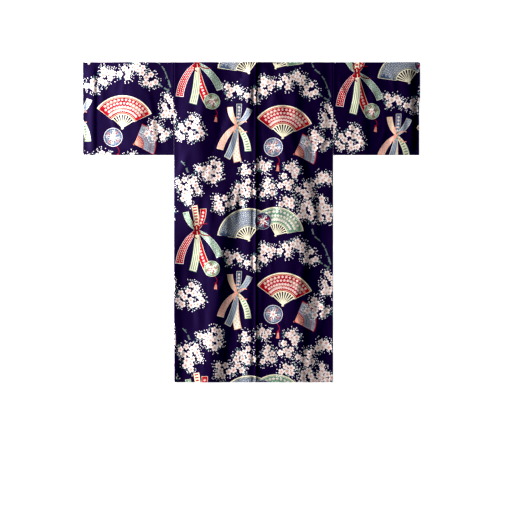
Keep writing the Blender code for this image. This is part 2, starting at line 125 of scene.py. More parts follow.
# Smaller creases. Each is a soft ridge about its middle point, leaning angle degrees
# clockwise from the robe's length, with a shallow trough along its left side.
Crease = namedtuple("Crease", "x y angle length width height bow")
BACK_CREASES = [Crease(*row) for row in (
    (-0.150, -0.180, 14, 0.17, 0.010, 0.0017, 0.010),
    (-0.118, -0.265, 24, 0.12, 0.008, 0.0012, -0.008),
    (-0.185, -0.090, -12, 0.18, 0.012, 0.0014, 0.012),
    (-0.176, 0.000, 4, 0.30, 0.019, 0.0024, -0.004),
    (-0.262, 0.050, -3, 0.24, 0.014, 0.0016, 0.006),
    (-0.285, 0.230, 18, 0.20, 0.013, 0.0016, -0.010),
    (-0.292, 0.400, 38, 0.12, 0.009, 0.0013, 0.006),
    (-0.230, 0.440, 10, 0.24, 0.015, 0.0015, 0.012),
    (-0.095, 0.330, -6, 0.22, 0.012, 0.0012, 0.010),
    (-0.060, 0.060, 5, 0.27, 0.012, 0.0014, -0.006),
    (-0.240, -0.400, -10, 0.24, 0.014, 0.0016, 0.012),
    (-0.060, -0.480, 6, 0.22, 0.011, 0.0015, 0.005),
    (-0.290, -0.560, 16, 0.16, 0.010, 0.0014, -0.006),
    (-0.205, -0.600, -8, 0.14, 0.010, 0.0012, 0.004),
    (-0.110, 0.560, 9, 0.15, 0.012, 0.0012, 0.005),
    (0.085, 0.520, 12, 0.20, 0.013, 0.0014, 0.008),
    (0.140, 0.330, -9, 0.27, 0.014, 0.0016, -0.010),
    (0.250, 0.420, -16, 0.18, 0.012, 0.0014, 0.008),
    (0.305, 0.330, 34, 0.13, 0.009, 0.0013, -0.006),
    (0.110, 0.080, 7, 0.28, 0.013, 0.0015, 0.009),
    (0.260, 0.020, -11, 0.24, 0.015, 0.0017, 0.012),
    (0.075, -0.200, -5, 0.22, 0.011, 0.0013, 0.006),
    (0.215, -0.260, 13, 0.26, 0.014, 0.0018, -0.012),
    (0.300, -0.360, 6, 0.22, 0.012, 0.0015, 0.006),
    (0.125, -0.470, -12, 0.20, 0.012, 0.0015, 0.008),
    (0.255, -0.570, 9, 0.17, 0.011, 0.0013, -0.005),
    (0.072, 0.030, 2, 0.34, 0.013, 0.0018, 0.004),
    (0.038, -0.300, -2, 0.30, 0.010, 0.0012, 0.003),
    (-0.640, 0.500, 6, 0.20, 0.011, 0.0014, 0.006),
    (-0.590, 0.420, -14, 0.16, 0.010, 0.0013, 0.006),
    (-0.540, 0.560, 9, 0.16, 0.011, 0.0012, -0.005),
    (-0.430, 0.470, -7, 0.22, 0.012, 0.0015, 0.008),
    (-0.375, 0.590, 22, 0.12, 0.009, 0.0012, 0.004),
    (-0.372, 0.385, -18, 0.12, 0.010, 0.0012, -0.005),
    (0.390, 0.540, -16, 0.16, 0.010, 0.0013, 0.006),
    (0.430, 0.400, 8, 0.16, 0.011, 0.0014, -0.006),
    (0.510, 0.510, -5, 0.22, 0.013, 0.0015, 0.008),
    (0.560, 0.375, 14, 0.12, 0.010, 0.0012, 0.004),
    (0.600, 0.580, -10, 0.14, 0.010, 0.0012, 0.005),
    (0.652, 0.440, 5, 0.20, 0.010, 0.0013, -0.005),
)]
# The fronts lie on the floor, so their creases are narrow dents in the underside, all of
# one height. A row is x, y, angle, length, width, bow.
FRONT_DENT = 0.0004
FRONT_CREASES = [Crease(*row[:5], FRONT_DENT, row[5]) for row in (
    (-0.270, 0.300, 9, 0.30, 0.007, 0.012),
    (-0.180, 0.120, -7, 0.36, 0.008, -0.012),
    (-0.285, -0.110, 5, 0.30, 0.007, 0.010),
    (-0.120, -0.260, 12, 0.28, 0.007, 0.012),
    (-0.220, -0.450, -9, 0.30, 0.008, -0.010),
    (-0.060, -0.500, 6, 0.24, 0.006, 0.006),
    (0.070, -0.100, -5, 0.40, 0.007, 0.012),
    (0.120, -0.420, 8, 0.30, 0.007, -0.010),
    (0.260, 0.340, -14, 0.26, 0.007, 0.010),
    (0.300, 0.020, 6, 0.34, 0.008, 0.012),
    (0.240, -0.260, -8, 0.28, 0.007, -0.008),
    (0.290, -0.520, 10, 0.24, 0.007, 0.008),
    (-0.620, 0.480, 8, 0.26, 0.007, 0.008),
    (-0.500, 0.520, -10, 0.22, 0.007, -0.006),
    (-0.400, 0.430, 14, 0.20, 0.006, 0.006),
    (0.420, 0.500, -9, 0.24, 0.007, 0.008),
    (0.530, 0.450, 7, 0.24, 0.007, -0.006),
    (0.640, 0.540, -6, 0.20, 0.006, 0.006),
)]
TROUGH_SHARE = 0.45  # depth of a crease's trough against its ridge
TROUGH_SHIFT = 1.9  # how many widths it lies beside the ridge
CREASE_FADE = 0.02  # creases fade this near the shoulder
CREASE_KEEP = 0.2
LIFT_ROUNDING = 0.0004  # troughs end softly where the back lies on the layer below
RIPPLE_HEIGHT = 0.00028
RIPPLE_COUNT = 14
RIPPLE_SEED = 11

# Seams and hems
LEFT_CENTRE_PUFF = 0.0034  # the cloth swells this much beside the centre back seam
RIGHT_CENTRE_PUFF = 0.0013
ARMHOLE_PUFF = 0.0009
ARMHOLE_FADE = 0.03
PUFF_WIDTH = 0.016
LEFT_ROLL_REACH = 0.0105  # the left front wraps this far on to the back at the hem
LEFT_ROLL_TOP_Y = -0.330
LEFT_ROLL_LEAD = 0.10  # it starts this much above that place, and is full as far above the hem
CUFF_HEM = 0.010
BOTTOM_HEM = 0.012
FRONT_HEM = 0.009
HEM_RAISE = 0.00045
HEM_STEP_WIDTH = 0.0016
HEM_DIP_WIDTH = 0.0009
HEM_DIP_SHARE = 0.8

# The print's repeat
REPEAT_WIDTH = 0.680
REPEAT_LENGTH = 0.710
PRINT_SEED = 23


def smooth(share):
    """A soft step from 0 to 1."""
    share = np.clip(share, 0.0, 1.0)
    return share * share * (3.0 - 2.0 * share)


def edges_of(corners):
    """The edges (start, end) of a closed outline."""
    return zip(corners, corners[1:] + corners[:1])


def anticlockwise(corners):
    """The same corners in anticlockwise order."""
    area = sum(ax * by - bx * ay for (ax, ay), (bx, by) in edges_of(corners))
    return corners if area > 0.0 else corners[::-1]


def edge_distance(start, end, x, y):
    """Distances from points to one straight edge."""
    edge_x, edge_y = end[0] - start[0], end[1] - start[1]
    from_x, from_y = x - start[0], y - start[1]
    along = (from_x * edge_x + from_y * edge_y) / (edge_x**2 + edge_y**2)
    along = np.clip(along, 0.0, 1.0)
    return np.hypot(from_x - along * edge_x, from_y - along * edge_y)


def distance_outside(corners, x, y):
    """Distances from points to a convex outline, 0 inside."""
    within = np.ones(x.shape, bool)
    nearest = np.full(x.shape, np.inf)
    for start, end in edges_of(corners):
        edge_x, edge_y = end[0] - start[0], end[1] - start[1]
        within &= edge_x * (y - start[1]) - edge_y * (x - start[0]) >= 0.0
        nearest = np.minimum(nearest, edge_distance(start, end, x, y))
    return np.where(within, 0.0, nearest)


def outline(side, corners):
    """Corners as (distance past the centre line, drop from the shoulder), in the frame."""
    return anticlockwise([(CENTRE_X + INWARD[side] * x, SHOULDER_Y - drop) for x, drop in corners])


def front_outlines(side):
    """Convex outlines of one front, its overlap panel and its stretch of the collar."""
    width, neck, drop = BODY_WIDTH[side], NECK_HALF_WIDTH, OVERLAP_DROP
    overlap, hem = OVERLAP_WIDTH, ROBE_LENGTH
    collar_top = -neck + COLLAR_WIDTH * NECKLINE_RUN / NECKLINE_SLOPE
    collar_end = (overlap + COLLAR_SHIFT_X, COLLAR_END_DROP - COLLAR_SHIFT_Y)
    return (
        outline(side, [(-width, 0), (-width, hem), (0, hem), (0, drop), (-neck, 0)]),
        outline(side, [(0, drop), (0, hem), (overlap, hem), (overlap, COLLAR_END_DROP)]),
        outline(side, [(-neck, 0), (overlap, COLLAR_END_DROP), collar_end, (collar_top, 0)]),
    )


LEFT_OUTLINES = front_outlines("left")
RIGHT_OUTLINES = front_outlines("right")
NECK_OUTLINE = outline("left", [(-NECK_HALF_WIDTH, 0), (NECK_HALF_WIDTH, 0),
                                (-COLLAR_MITRE_X, COLLAR_WIDTH), (COLLAR_MITRE_X, COLLAR_WIDTH)])


def cover(outlines, x, y, spare=0.0):
    """1 over the outlines and just beside them, then a soft fall to 0."""
    distance = np.min([distance_outside(corners, x, y) for corners in outlines], axis=0)
    return 1.0 - smooth((distance - EDGE_MARGIN - spare) / EDGE_FALL)


def right_front_base(x, y, spare=0.0):
    """Height of the right front's underside, which lies over the left front."""
    over_cloth = (CLOTH + LAYER_GAP) * cover(LEFT_OUTLINES, x, y, spare)
    over_collar = (COLLAR_CLOTH - CLOTH) * cover(LEFT_OUTLINES[2:], x, y, spare)
    return over_cloth + over_collar


def back_base(x, y):
    """Height of the back's underside where it has no fold."""
    more = COLLAR_CLOTH - CLOTH
    left_top = CLOTH + more * cover(LEFT_OUTLINES[2:], x, y, BACK_SPARE)
    right_top = right_front_base(x, y, BACK_SPARE) + CLOTH
    right_top *= cover(RIGHT_OUTLINES, x, y, BACK_SPARE)
    right_top += more * cover(RIGHT_OUTLINES[2:], x, y, BACK_SPARE)
    neck_top = COLLAR_CLOTH * cover([NECK_OUTLINE], x, y, BACK_SPARE)
    return LAYER_GAP + np.maximum(np.maximum(left_top, right_top), neck_top)


def pinch(x, y):
    """How much of a fold's height is left near seams and at the shoulder."""
    beside_seams = np.minimum(np.abs(x - SIDE_X["left"]), np.abs(x - SIDE_X["right"]))
    held = smooth((y - SLEEVE_BOTTOM_Y + PINCH_END) / PINCH_END)
    share = 1.0 - held * (1.0 - smooth(beside_seams / SEAM_PINCH))
    to_cuff = np.minimum(x - CUFF_X["left"], CUFF_X["right"] - x)
    sewn = smooth((CUFF_OPENING_Y - y) / SEAM_PINCH)
    sleeve = smooth((y - SLEEVE_BOTTOM_Y) / SEAM_PINCH)
    sleeve = sleeve * (1.0 - sewn * (1.0 - smooth(to_cuff / SEAM_PINCH)))
    on_sleeve = (x < SIDE_X["left"]) | (x > SIDE_X["right"])
    share = share * np.where(on_sleeve, sleeve, 1.0)
    shoulder = smooth((SHOULDER_Y - y) / SHOULDER_PINCH)
    return share * (SHOULDER_KEEP + (1.0 - SHOULDER_KEEP) * shoulder)


def fold_height(x, y):
    """How far the soft folds lift the upper layer off what it lies on."""
    total = np.zeros(x.shape)
    for fold in FOLDS:
        along = np.clip((fold.y_top - y) / (fold.y_top - fold.y_bottom), 0.0, 1.0)
        ridge = fold.x_top + (fold.x_bottom - fold.x_top) * along
        flank = np.where(x < ridge, fold.rise, fold.fall)
        fade = smooth((fold.y_top - y) / FOLD_END_FADE + 0.5)
        fade = fade * smooth((y - fold.y_bottom) / FOLD_END_FADE + 0.5)
        total += fold.height * fade * smooth(1.0 - np.abs(x - ridge) / flank)
    return total


def crease_height(creases, x, y):
    """Ridges of the creases, each with its trough beside it."""
    total = np.zeros(x.shape)
    for crease in creases:
        angle = math.radians(crease.angle)
        from_x, from_y = x - crease.x, y - crease.y
        along = (from_x * math.sin(angle) + from_y * math.cos(angle)) / crease.length + 0.5
        near = (along > 0.0) & (along < 1.0)
        across = from_x[near] * math.cos(angle) - from_y[near] * math.sin(angle)
        along = along[near]
        across = across - crease.bow * np.sin(math.pi * along)
        ridge = np.exp(-((across / crease.width) ** 2))
        trough = np.exp(-(((across + TROUGH_SHIFT * crease.width) / crease.width) ** 2))
        swell = np.sin(math.pi * along) ** 1.5
        total[near] += crease.height * swell * (ridge - TROUGH_SHARE * trough)
    return total


def make_ripples():
    """Slight waves of pressed cotton, longer along the robe than across it."""
    rng = random.Random(RIPPLE_SEED)
    ripples = []
    for _ in range(RIPPLE_COUNT):
        across = 2.0 * math.pi / rng.uniform(0.035, 0.110)
        along = 2.0 * math.pi / rng.uniform(0.20, 0.60) * rng.choice((-1.0, 1.0))
        ripples.append((across, along, rng.uniform(0.0, 2.0 * math.pi)))
    return ripples


BACK_RIPPLES = make_ripples()


def ripple_height(x, y):
    """How high the ripples are, some of it below zero."""
    total = sum(np.sin(across * x + along * y + start) for across, along, start in BACK_RIPPLES)
    return RIPPLE_HEIGHT * total / math.sqrt(RIPPLE_COUNT / 2.0)


def puff(distance):
    """The swell beside a seam: nothing at the stitches, full a few millimetres away."""
    share = np.clip(distance / PUFF_WIDTH, 0.0, 1.0)
    return np.sin(math.pi * np.sqrt(share)) * (1.0 - 0.3 * share)


def seam_height(x, y):
    """Swelling beside the centre back seam and the armhole seams."""
    swell = np.where(x > CENTRE_X, RIGHT_CENTRE_PUFF, LEFT_CENTRE_PUFF)
    total = swell * puff(np.abs(x - CENTRE_X))
    sewn = smooth((y - ARMHOLE_END_Y) / ARMHOLE_FADE + 0.5)
    for seam_x in SIDE_X.values():
        total += ARMHOLE_PUFF * sewn * puff(np.abs(x - seam_x))
    return total


def hem_step(distance, width):
    """The turned hem is thicker, with a dip where it is stitched down."""
    step = smooth((width - distance) / HEM_STEP_WIDTH + 0.5)
    dip = np.exp(-(((distance - width + HEM_STEP_WIDTH) / HEM_DIP_WIDTH) ** 2))
    return HEM_RAISE * (step - HEM_DIP_SHARE * dip)


def back_middle(x, y):
    """Height of the middle of the back's wall."""
    held = pinch(x, y)
    lift = fold_height(x, y) * held
    fade = smooth((SHOULDER_Y - y) / CREASE_FADE) * (1.0 - CREASE_KEEP) + CREASE_KEEP
    lift += (crease_height(BACK_CREASES, x, y) + ripple_height(x, y)) * fade * held
    lift = 0.5 * (lift + np.sqrt(lift * lift + LIFT_ROUNDING**2))
    to_cuff = np.minimum(x - CUFF_X["left"], CUFF_X["right"] - x)
    hems = hem_step(y - HEM_Y, BOTTOM_HEM) + hem_step(to_cuff, CUFF_HEM)
    return back_base(x, y) + lift + seam_height(x, y) + hems + CLOTH / 2


def front_middle(side, x, y):
    """Height of the middle of a front's wall. Sleeves have side None."""
    base = right_front_base(x, y) if side == "right" else 0.0
    return base + crease_height(FRONT_CREASES, x, y).clip(0.0, None) + CLOTH / 2


def quarter_turn(distance, radius):
    """Cloth that turns down round an edge: how far in from the edge a point lies, and
    its share of the layer's height above the middle."""
    radius = np.maximum(radius, 1e-6)
    angle = np.clip(distance / radius, 0.0, math.pi / 2)
    flat = distance - radius * (math.pi / 2 - 1.0)
    inward = np.where(angle < math.pi / 2, radius * (1.0 - np.cos(angle)), flat)
    return inward, np.sin(angle)


def turn_edge(distance, width, closed, half_gap, inset, reach=0.0):
    """A layer's side where it meets the other layer. It reaches past the outermost
    line by reach, and comes back on the other layer's face where it does."""
    radius = closed * half_gap
    length = width - inset + radius * (math.pi / 2 - 1.0) + reach
    place = distance * length / width - reach
    inward, share = quarter_turn(np.abs(place), radius)
    share = 1.0 - closed * (1.0 - share)
    return inset + inward, share * np.where(place < 0.0, -1.0, 1.0)


def shoulder_turn(v, upper, lower, end_v, end_y):
    """Where a strip that runs up the back, over the shoulder and down the front lies.
    Gives y and the angle turned, from 0 on the back to pi on the front."""
    radius = (upper - lower) / 2
    start = SHOULDER_Y - radius - CLOTH / 2
    angle = np.clip((v - start) / radius, 0.0, math.pi)
    front_v = start + math.pi * radius
    down = (v - front_v) * (start - end_y) / (end_v - front_v)
    y = np.where(v < start, v, start + radius * np.sin(angle))
    return np.where(v > front_v, start - down, y), angle


def roll_reach(side, y):
    """How far a front wraps past the robe's side on to the back."""
    if side == "right":
        return np.zeros(y.shape)
    start_y = LEFT_ROLL_TOP_Y + LEFT_ROLL_LEAD
    return LEFT_ROLL_REACH * smooth((start_y - y) / (LEFT_ROLL_TOP_Y - HEM_Y))


def place_body(side, x, v):
    """The middle of a body strip's wall in the frame, from flat places on the strip."""
    inner, side_x = INWARD[side], SIDE_X[side]
    shoulder = np.full(x.shape, SHOULDER_Y)
    upper = back_middle(x, shoulder)
    lower = front_middle(side, x, shoulder)
    y, angle = shoulder_turn(v, upper, lower, FRONT_END_V, HEM_Y)
    closed = smooth((SIDE_SEAM_TOP_Y + SEAM_START - y) / SEAM_START)
    beside = np.full(x.shape, side_x + inner * BESIDE_SEAM)
    half_gap = (back_middle(beside, y) - front_middle(side, beside, y)) / 2
    inset = SEWN_GAP / 2 + (CLOTH / 2 - SEWN_GAP / 2) * closed
    reach = roll_reach(side, y) * np.where(angle > math.pi / 2, 1.0, -1.0)
    inward, share = turn_edge(
        np.abs(x - side_x), BODY_WIDTH[side], closed, half_gap, inset, reach
    )
    placed_x = side_x + inner * inward
    upper = back_middle(placed_x, y)
    lower = front_middle(side, placed_x, y)
    z = (upper + lower) / 2 + (upper - lower) / 2 * np.cos(angle) * share
    return np.stack([placed_x, y, z], axis=1)


def place_sleeve(side, x, v):
    """The middle of a sleeve strip's wall in the frame."""
    inner, cuff_x = INWARD[side], CUFF_X[side]
    width = abs(SIDE_X[side] - inner * SEWN_GAP / 2 - cuff_x)
    floor = np.full(x.shape, CLOTH / 2)
    upper = back_middle(x, np.full(x.shape, SHOULDER_Y))
    y, angle = shoulder_turn(v, upper, floor, SLEEVE_END_V, SLEEVE_BOTTOM_Y + CLOTH / 2)
    from_end = np.minimum(v - SLEEVE_BOTTOM_Y, SLEEVE_END_V - v)
    at_bottom = np.full(x.shape, SLEEVE_BOTTOM_Y + BESIDE_EDGE)
    half_gap = (back_middle(x, at_bottom) - floor) / 2
    up, end_share = turn_edge(from_end, SLEEVE_SPAN, 1.0, half_gap, CLOTH / 2)
    y = np.where(from_end < SLEEVE_END_ZONE, SLEEVE_BOTTOM_Y + up, y)
    sewn = smooth((CUFF_OPENING_Y - y) / CUFF_TURN + 0.5)
    at_cuff = np.full(x.shape, cuff_x + inner * BESIDE_EDGE)
    half_gap = (back_middle(at_cuff, y) - floor) / 2
    inset = (CLOTH / 2 + (RIGHT_CUFF_STEP if side == "right" else 0.0)) * sewn
    inward, share = turn_edge(np.abs(x - cuff_x), width, sewn, half_gap, inset)
    free = smooth((ARMHOLE_END_Y - y) / SEAM_START)
    inward = inward * (1.0 - (FREE_GAP - SEWN_GAP / 2) / width * free)
    placed_x = cuff_x + inner * inward
    upper = back_middle(placed_x, y)
    lower = front_middle(None, placed_x, y)
    z = (upper + lower) / 2 + (upper - lower) / 2 * np.cos(angle) * share * end_share
    return np.stack([placed_x, y, z], axis=1)


def place_overlap(side, x, v):
    """An overlap panel, at the same flat places as the front that it is sewn to."""
    y = 2.0 * SHOULDER_Y - v
    front_edge = CENTRE_X + INWARD[side] * OVERLAP_WIDTH
    z = front_middle(side, x, y) + hem_step(np.abs(front_edge - x), FRONT_HEM)
    return np.stack([x, y, z], axis=1)


def collar_stations():
    """Sections of the collar from the left end, round the neck, to the right end. Each
    is (length along the band, seam point, free point)."""
    crossing = SHOULDER_Y - CROSSING_FULL_Y + LAYER_GAP
    half = [
        ((-NECK_HALF_WIDTH, 0.0), (COLLAR_MITRE_X, COLLAR_WIDTH)),
        ((-COLLAR_SHIFT_X, crossing + COLLAR_SHIFT_Y), (0.0, crossing)),
        ((OVERLAP_WIDTH, COLLAR_END_DROP),
         (OVERLAP_WIDTH + COLLAR_SHIFT_X, COLLAR_END_DROP - COLLAR_SHIFT_Y)),
    ]
    sections = [(pair, 1.0) for pair in reversed(half)] + [(pair, -1.0) for pair in half]
    stations = []
    length = 0.0
    for pair, across in sections:
        seam, free = (np.array([CENTRE_X + across * x, SHOULDER_Y - drop]) for x, drop in pair)
        if stations:
            _, last_seam, last_free = stations[-1]
            length += np.linalg.norm((seam + free - last_seam - last_free) / 2)
        stations.append((length, seam, free))
    return stations


COLLAR_LENGTHS, COLLAR_SEAM, COLLAR_FREE = (np.array(part) for part in zip(*collar_stations()))
COLLAR_LENGTH = COLLAR_LENGTHS[-1]
COLLAR_SEAM_LENGTH = sum(math.dist(*pair) for pair in zip(COLLAR_SEAM, COLLAR_SEAM[1:]))


def place_collar(along, across):
    """The collar band. along runs from its left end to its right one, across from the
    seam to the free edge."""
    seam, free = ([np.interp(along, COLLAR_LENGTHS, edge[:, axis]) for axis in (0, 1)]
                  for edge in (COLLAR_SEAM, COLLAR_FREE))
    share = across / COLLAR_WIDTH
    x, y = (near + share * (far - near) for near, far in zip(seam, free))
    climb = smooth((CROSSING_START_Y - y) / (CROSSING_START_Y - CROSSING_FULL_Y))
    climb = np.where(along > COLLAR_LENGTH / 2, climb, 0.0)
    z = right_front_base(x, y) * climb + COLLAR_CLOTH / 2
    return np.stack([x, y, z], axis=1)


# The print

def shade(red, green, blue):
    """A colour seen on screen as these values of 255, in the scene's linear values."""
    seen = [value / 255.0 for value in (red, green, blue)]
    return np.array([v / 12.92 if v < 0.04045 else ((v + 0.055) / 1.055) ** 2.4 for v in seen])


INDIGO = shade(30, 18, 58)
SHEEN_TINT = shade(150, 130, 215)
SATIN_TINT = (0.66, 0.42, 1.0)
PETAL = shade(244, 236, 234)
PETAL_BASE = shade(232, 212, 202)
BLOSSOM_HEART = shade(206, 162, 148)
STAMEN = shade(176, 112, 100)
BUD = shade(251, 248, 246)
LEAF = shade(104, 138, 136)
TWIG = shade(116, 134, 126)
TWIG_DARK = shade(70, 86, 82)
RED = shade(178, 32, 42)
DEEP_RED = shade(132, 24, 34)
SAGE = shade(120, 154, 132)
PALE_SAGE = shade(178, 198, 178)
CREAM = shade(234, 229, 202)
SALMON = shade(236, 172, 152)
BLUE_GREY = shade(92, 108, 132)
PALE_BLUE = shade(170, 180, 190)
NAVY = shade(40, 48, 82)
WHITE = shade(246, 242, 236)

Shape = namedtuple("Shape", "points colour edge_colour centre radius")


def away(x, y, reach, turn):
    """The point at a distance and a direction from another."""
    return (x + reach * math.cos(turn), y + reach * math.sin(turn))


def turned(points, turn, x, y):
    """Points turned about the origin and moved."""
    across, down = np.asarray(points, float).T
    cos, sin = math.cos(turn), math.sin(turn)
    return np.stack([x + across * cos - down * sin, y + across * sin + down * cos], axis=1)


class Print:
    """The shapes of one repeat of the print, each one over those before it."""

    def __init__(self):
        self.shapes = []

    def add(self, points, colour, edge_colour=None, centre=(0.0, 0.0), radius=1.0):
        """A closed shape. Its colour may change from its centre to radius away."""
        edge_colour = colour if edge_colour is None else edge_colour
        self.shapes.append(Shape(np.asarray(points, float), colour, edge_colour, centre, radius))

    def disc(self, x, y, radius, colour, corners=6, turn=0.0):
        angles = turn + np.arange(corners) * 2.0 * math.pi / corners
        self.add(np.stack([x + radius * np.cos(angles), y + radius * np.sin(angles)], axis=1), colour)

    def bar(self, start, end, start_width, end_width, colour):
        """A straight bar that may taper."""
        start, end = np.array(start), np.array(end)
        along = (end - start) / np.linalg.norm(end - start)
        aside = np.array([-along[1], along[0]]) / 2.0
        near, far = aside * start_width, aside * end_width
        self.add([start - near, end - far, end + far, start + near], colour)

    def leaf(self, x, y, turn, length, width, colour):
        along = np.array([math.cos(turn), math.sin(turn)])
        aside = np.array([-along[1], along[0]])
        base = np.array([x, y])
        shares = ((0.0, 0.0), (0.3, 0.42), (0.6, 0.5), (1.0, 0.0), (0.6, -0.5), (0.3, -0.42))
        points = [base + along * length * far + aside * width * off for far, off in shares]
        self.add(points, colour)


# Outlines of one petal, as (angle from its middle, share of the blossom's radius)
NOTCHED_PETAL = ((-0.628, 0.56), (-0.42, 0.88), (-0.13, 1.0), (0.0, 0.89), (0.13, 1.0),
                 (0.42, 0.88))
SMALL_PETAL = ((-0.628, 0.40), (-0.25, 0.96), (0.25, 0.96))
HEART_PETAL = ((-0.628, 0.26), (0.0, 0.66))
PETALS = 5


def ring(petal, radius):
    """The closed outline of a blossom with equal petals."""
    points = []
    for number in range(PETALS):
        middle = 2.0 * math.pi * number / PETALS
        points += [away(0.0, 0.0, share * radius, middle + angle) for angle, share in petal]
    return points


def add_blossom(cloth, x, y, radius, turn, detail=True):
    """A cherry blossom of five notched petals."""
    petals = ring(NOTCHED_PETAL if detail else SMALL_PETAL, radius)
    cloth.add(turned(petals, turn, x, y), PETAL_BASE, PETAL, (x, y), radius * 0.85)
    if not detail:
        cloth.disc(x, y, radius * 0.30, BLOSSOM_HEART, PETALS, turn)
        return
    heart = turned(ring(HEART_PETAL, radius), turn, x, y)
    cloth.add(heart, BLOSSOM_HEART, PETAL_BASE, (x, y), radius * 0.78)
    for petal in range(PETALS):
        angle = turn + 2.0 * math.pi * (petal + 0.12) / PETALS
        cloth.disc(*away(x, y, radius * 0.46, angle), radius * 0.06, STAMEN, 4, angle)
    cloth.disc(x, y, radius * 0.12, STAMEN, PETALS, turn)


# Blossom clusters as (across, down, width, height, lean in degrees) in one repeat, in
# millimetres from its upper left corner
CLUSTERS = (
    (68, 289, 128, 112, 10), (251, 121, 92, 66, 0), (331, 146, 66, 56, 0),
    (392, 104, 84, 84, 20), (468, 92, 66, 62, 0), (527, 66, 84, 58, 25),
    (575, 117, 84, 76, 20), (659, 232, 84, 104, 0), (606, 338, 100, 88, 15),
    (160, 466, 118, 106, -10), (64, 541, 108, 132, 12), (306, 457, 70, 50, 0),
    (300, 541, 112, 84, -15), (210, 600, 88, 78, 0), (268, 594, 58, 56, 0),
    (391, 440, 78, 52, 0), (397, 532, 80, 96, 0), (492, 464, 86, 68, -10),
    (480, 519, 72, 50, 0), (480, 592, 74, 64, 0), (563, 543, 82, 78, -20),
    (634, 497, 80, 62, 10), (561, 638, 88, 90, 0), (638, 634, 80, 116, 0),
)
CLUSTER_INSET = 0.010
CLUSTER_TRIES = 900
BLOSSOM_SPACING = 0.0212
SPRIG_TRIES = 16
SPRIG_SPACING = 0.0054
SPRIG_CLEARANCE = 0.0165
# Broken twigs, each as a run of (across, down) points in millimetres
TWIGS = (
    ((584, -6), (596, 30), (626, 56), (642, 82), (655, 116), (668, 158)),
    ((507, 560), (520, 585), (536, 612)),
    ((602, 128), (634, 150), (664, 168)),
    ((30, 420), (52, 446), (60, 474)),
)


def wrapped_gap(first, second):
    """Distance between two places of the repeat, across its edges too."""
    across = abs(first[0] - second[0]) % REPEAT_WIDTH
    down = abs(first[1] - second[1]) % REPEAT_LENGTH
    return math.hypot(min(across, REPEAT_WIDTH - across), min(down, REPEAT_LENGTH - down))


def place_blossoms(rng):
    """Blossom places (x, y, cluster number), packed into the clusters."""
    places = []
    for number, (across, down, width, height, lean) in enumerate(CLUSTERS):
        lean = math.radians(lean)
        lobes = (rng.uniform(0.0, 6.28), rng.uniform(0.0, 6.28))
        for _ in range(CLUSTER_TRIES):
            angle = rng.uniform(0.0, 2.0 * math.pi)
            limit = 0.93 + 0.20 * math.sin(3.0 * angle + lobes[0])
            limit += 0.12 * math.sin(5.0 * angle + lobes[1])
            reach = math.sqrt(rng.random()) * limit
            a = (width / 2000.0 - CLUSTER_INSET) * reach * math.cos(angle)
            b = (height / 2000.0 - CLUSTER_INSET) * reach * math.sin(angle)
            x = across / 1000.0 + a * math.cos(lean) - b * math.sin(lean)
            y = down / 1000.0 + a * math.sin(lean) + b * math.cos(lean)
            if all(wrapped_gap((x, y), other) > BLOSSOM_SPACING for other in places):
                places.append((x, y, number))
    return places


def add_sprig(cloth, rng, x, y, turn, reach):
    """A fine stalk with a round white bud that sticks out past a blossom."""
    tip = away(x, y, reach, turn)
    if rng.random() < 0.45:
        start = away(x, y, reach * 0.68, turn)
        cloth.bar(start, tip, 0.0009, 0.0014, LEAF if rng.random() < 0.4 else BUD)
    cloth.disc(*tip, rng.uniform(0.0019, 0.0027), BUD, 6, turn)


def add_clusters(cloth, rng):
    """The clusters' blossoms, over the buds and leaves that stick out past them."""
    places = place_blossoms(rng)
    sprigs = []
    for x, y, number in places:
        across, down = CLUSTERS[number][0] / 1000.0, CLUSTERS[number][1] / 1000.0
        outward = math.atan2(y - down, x - across)
        others = [other for other in places if other[:2] != (x, y)]
        for _ in range(SPRIG_TRIES):
            turn = outward + rng.uniform(-1.9, 1.9)
            reach = rng.choice((rng.uniform(0.0185, 0.0215), rng.uniform(0.0240, 0.0285)))
            tip = away(x, y, reach, turn)
            if all(wrapped_gap(tip, other) > SPRIG_CLEARANCE for other in others):
                sprigs.append((x, y, turn, reach))
    rng.shuffle(sprigs)
    used = []
    for x, y, turn, reach in sprigs:
        tip = away(x, y, reach, turn)
        if any(wrapped_gap(tip, other) < SPRIG_SPACING for other in used):
            continue
        used.append(tip)
        if rng.random() < 0.16:
            cloth.leaf(*away(x, y, 0.011, turn), turn, reach * 0.62, 0.0042, LEAF)
        else:
            add_sprig(cloth, rng, x, y, turn, reach)
    for x, y, _ in places:
        add_blossom(cloth, x, y, rng.uniform(0.0136, 0.0156), rng.uniform(0.0, 1.257))


def add_twigs(cloth, rng):
    for run in TWIGS:
        for (ax, ay), (bx, by) in zip(run, run[1:]):
            start = np.array([ax, ay]) / 1000.0
            end = np.array([bx, by]) / 1000.0
            start = start + (end - start) * rng.uniform(0.0, 0.16)
            end = end - (end - start) * rng.uniform(0.0, 0.2)
            width = rng.uniform(0.0055, 0.0085)
            cloth.bar(start, end, width, width * rng.uniform(0.5, 0.9), TWIG)
            middle = start + (end - start) * rng.uniform(0.3, 0.7)
            cloth.bar(start, middle, 0.0012, 0.0006, TWIG_DARK)
            turn = math.atan2(*(end - start)[::-1]) + rng.choice((-0.7, 0.7))
            cloth.leaf(*middle, turn, rng.uniform(0.008, 0.016), 0.003, TWIG)


def within_patch(share):
    return min(max(share, 0.0), 1.0)


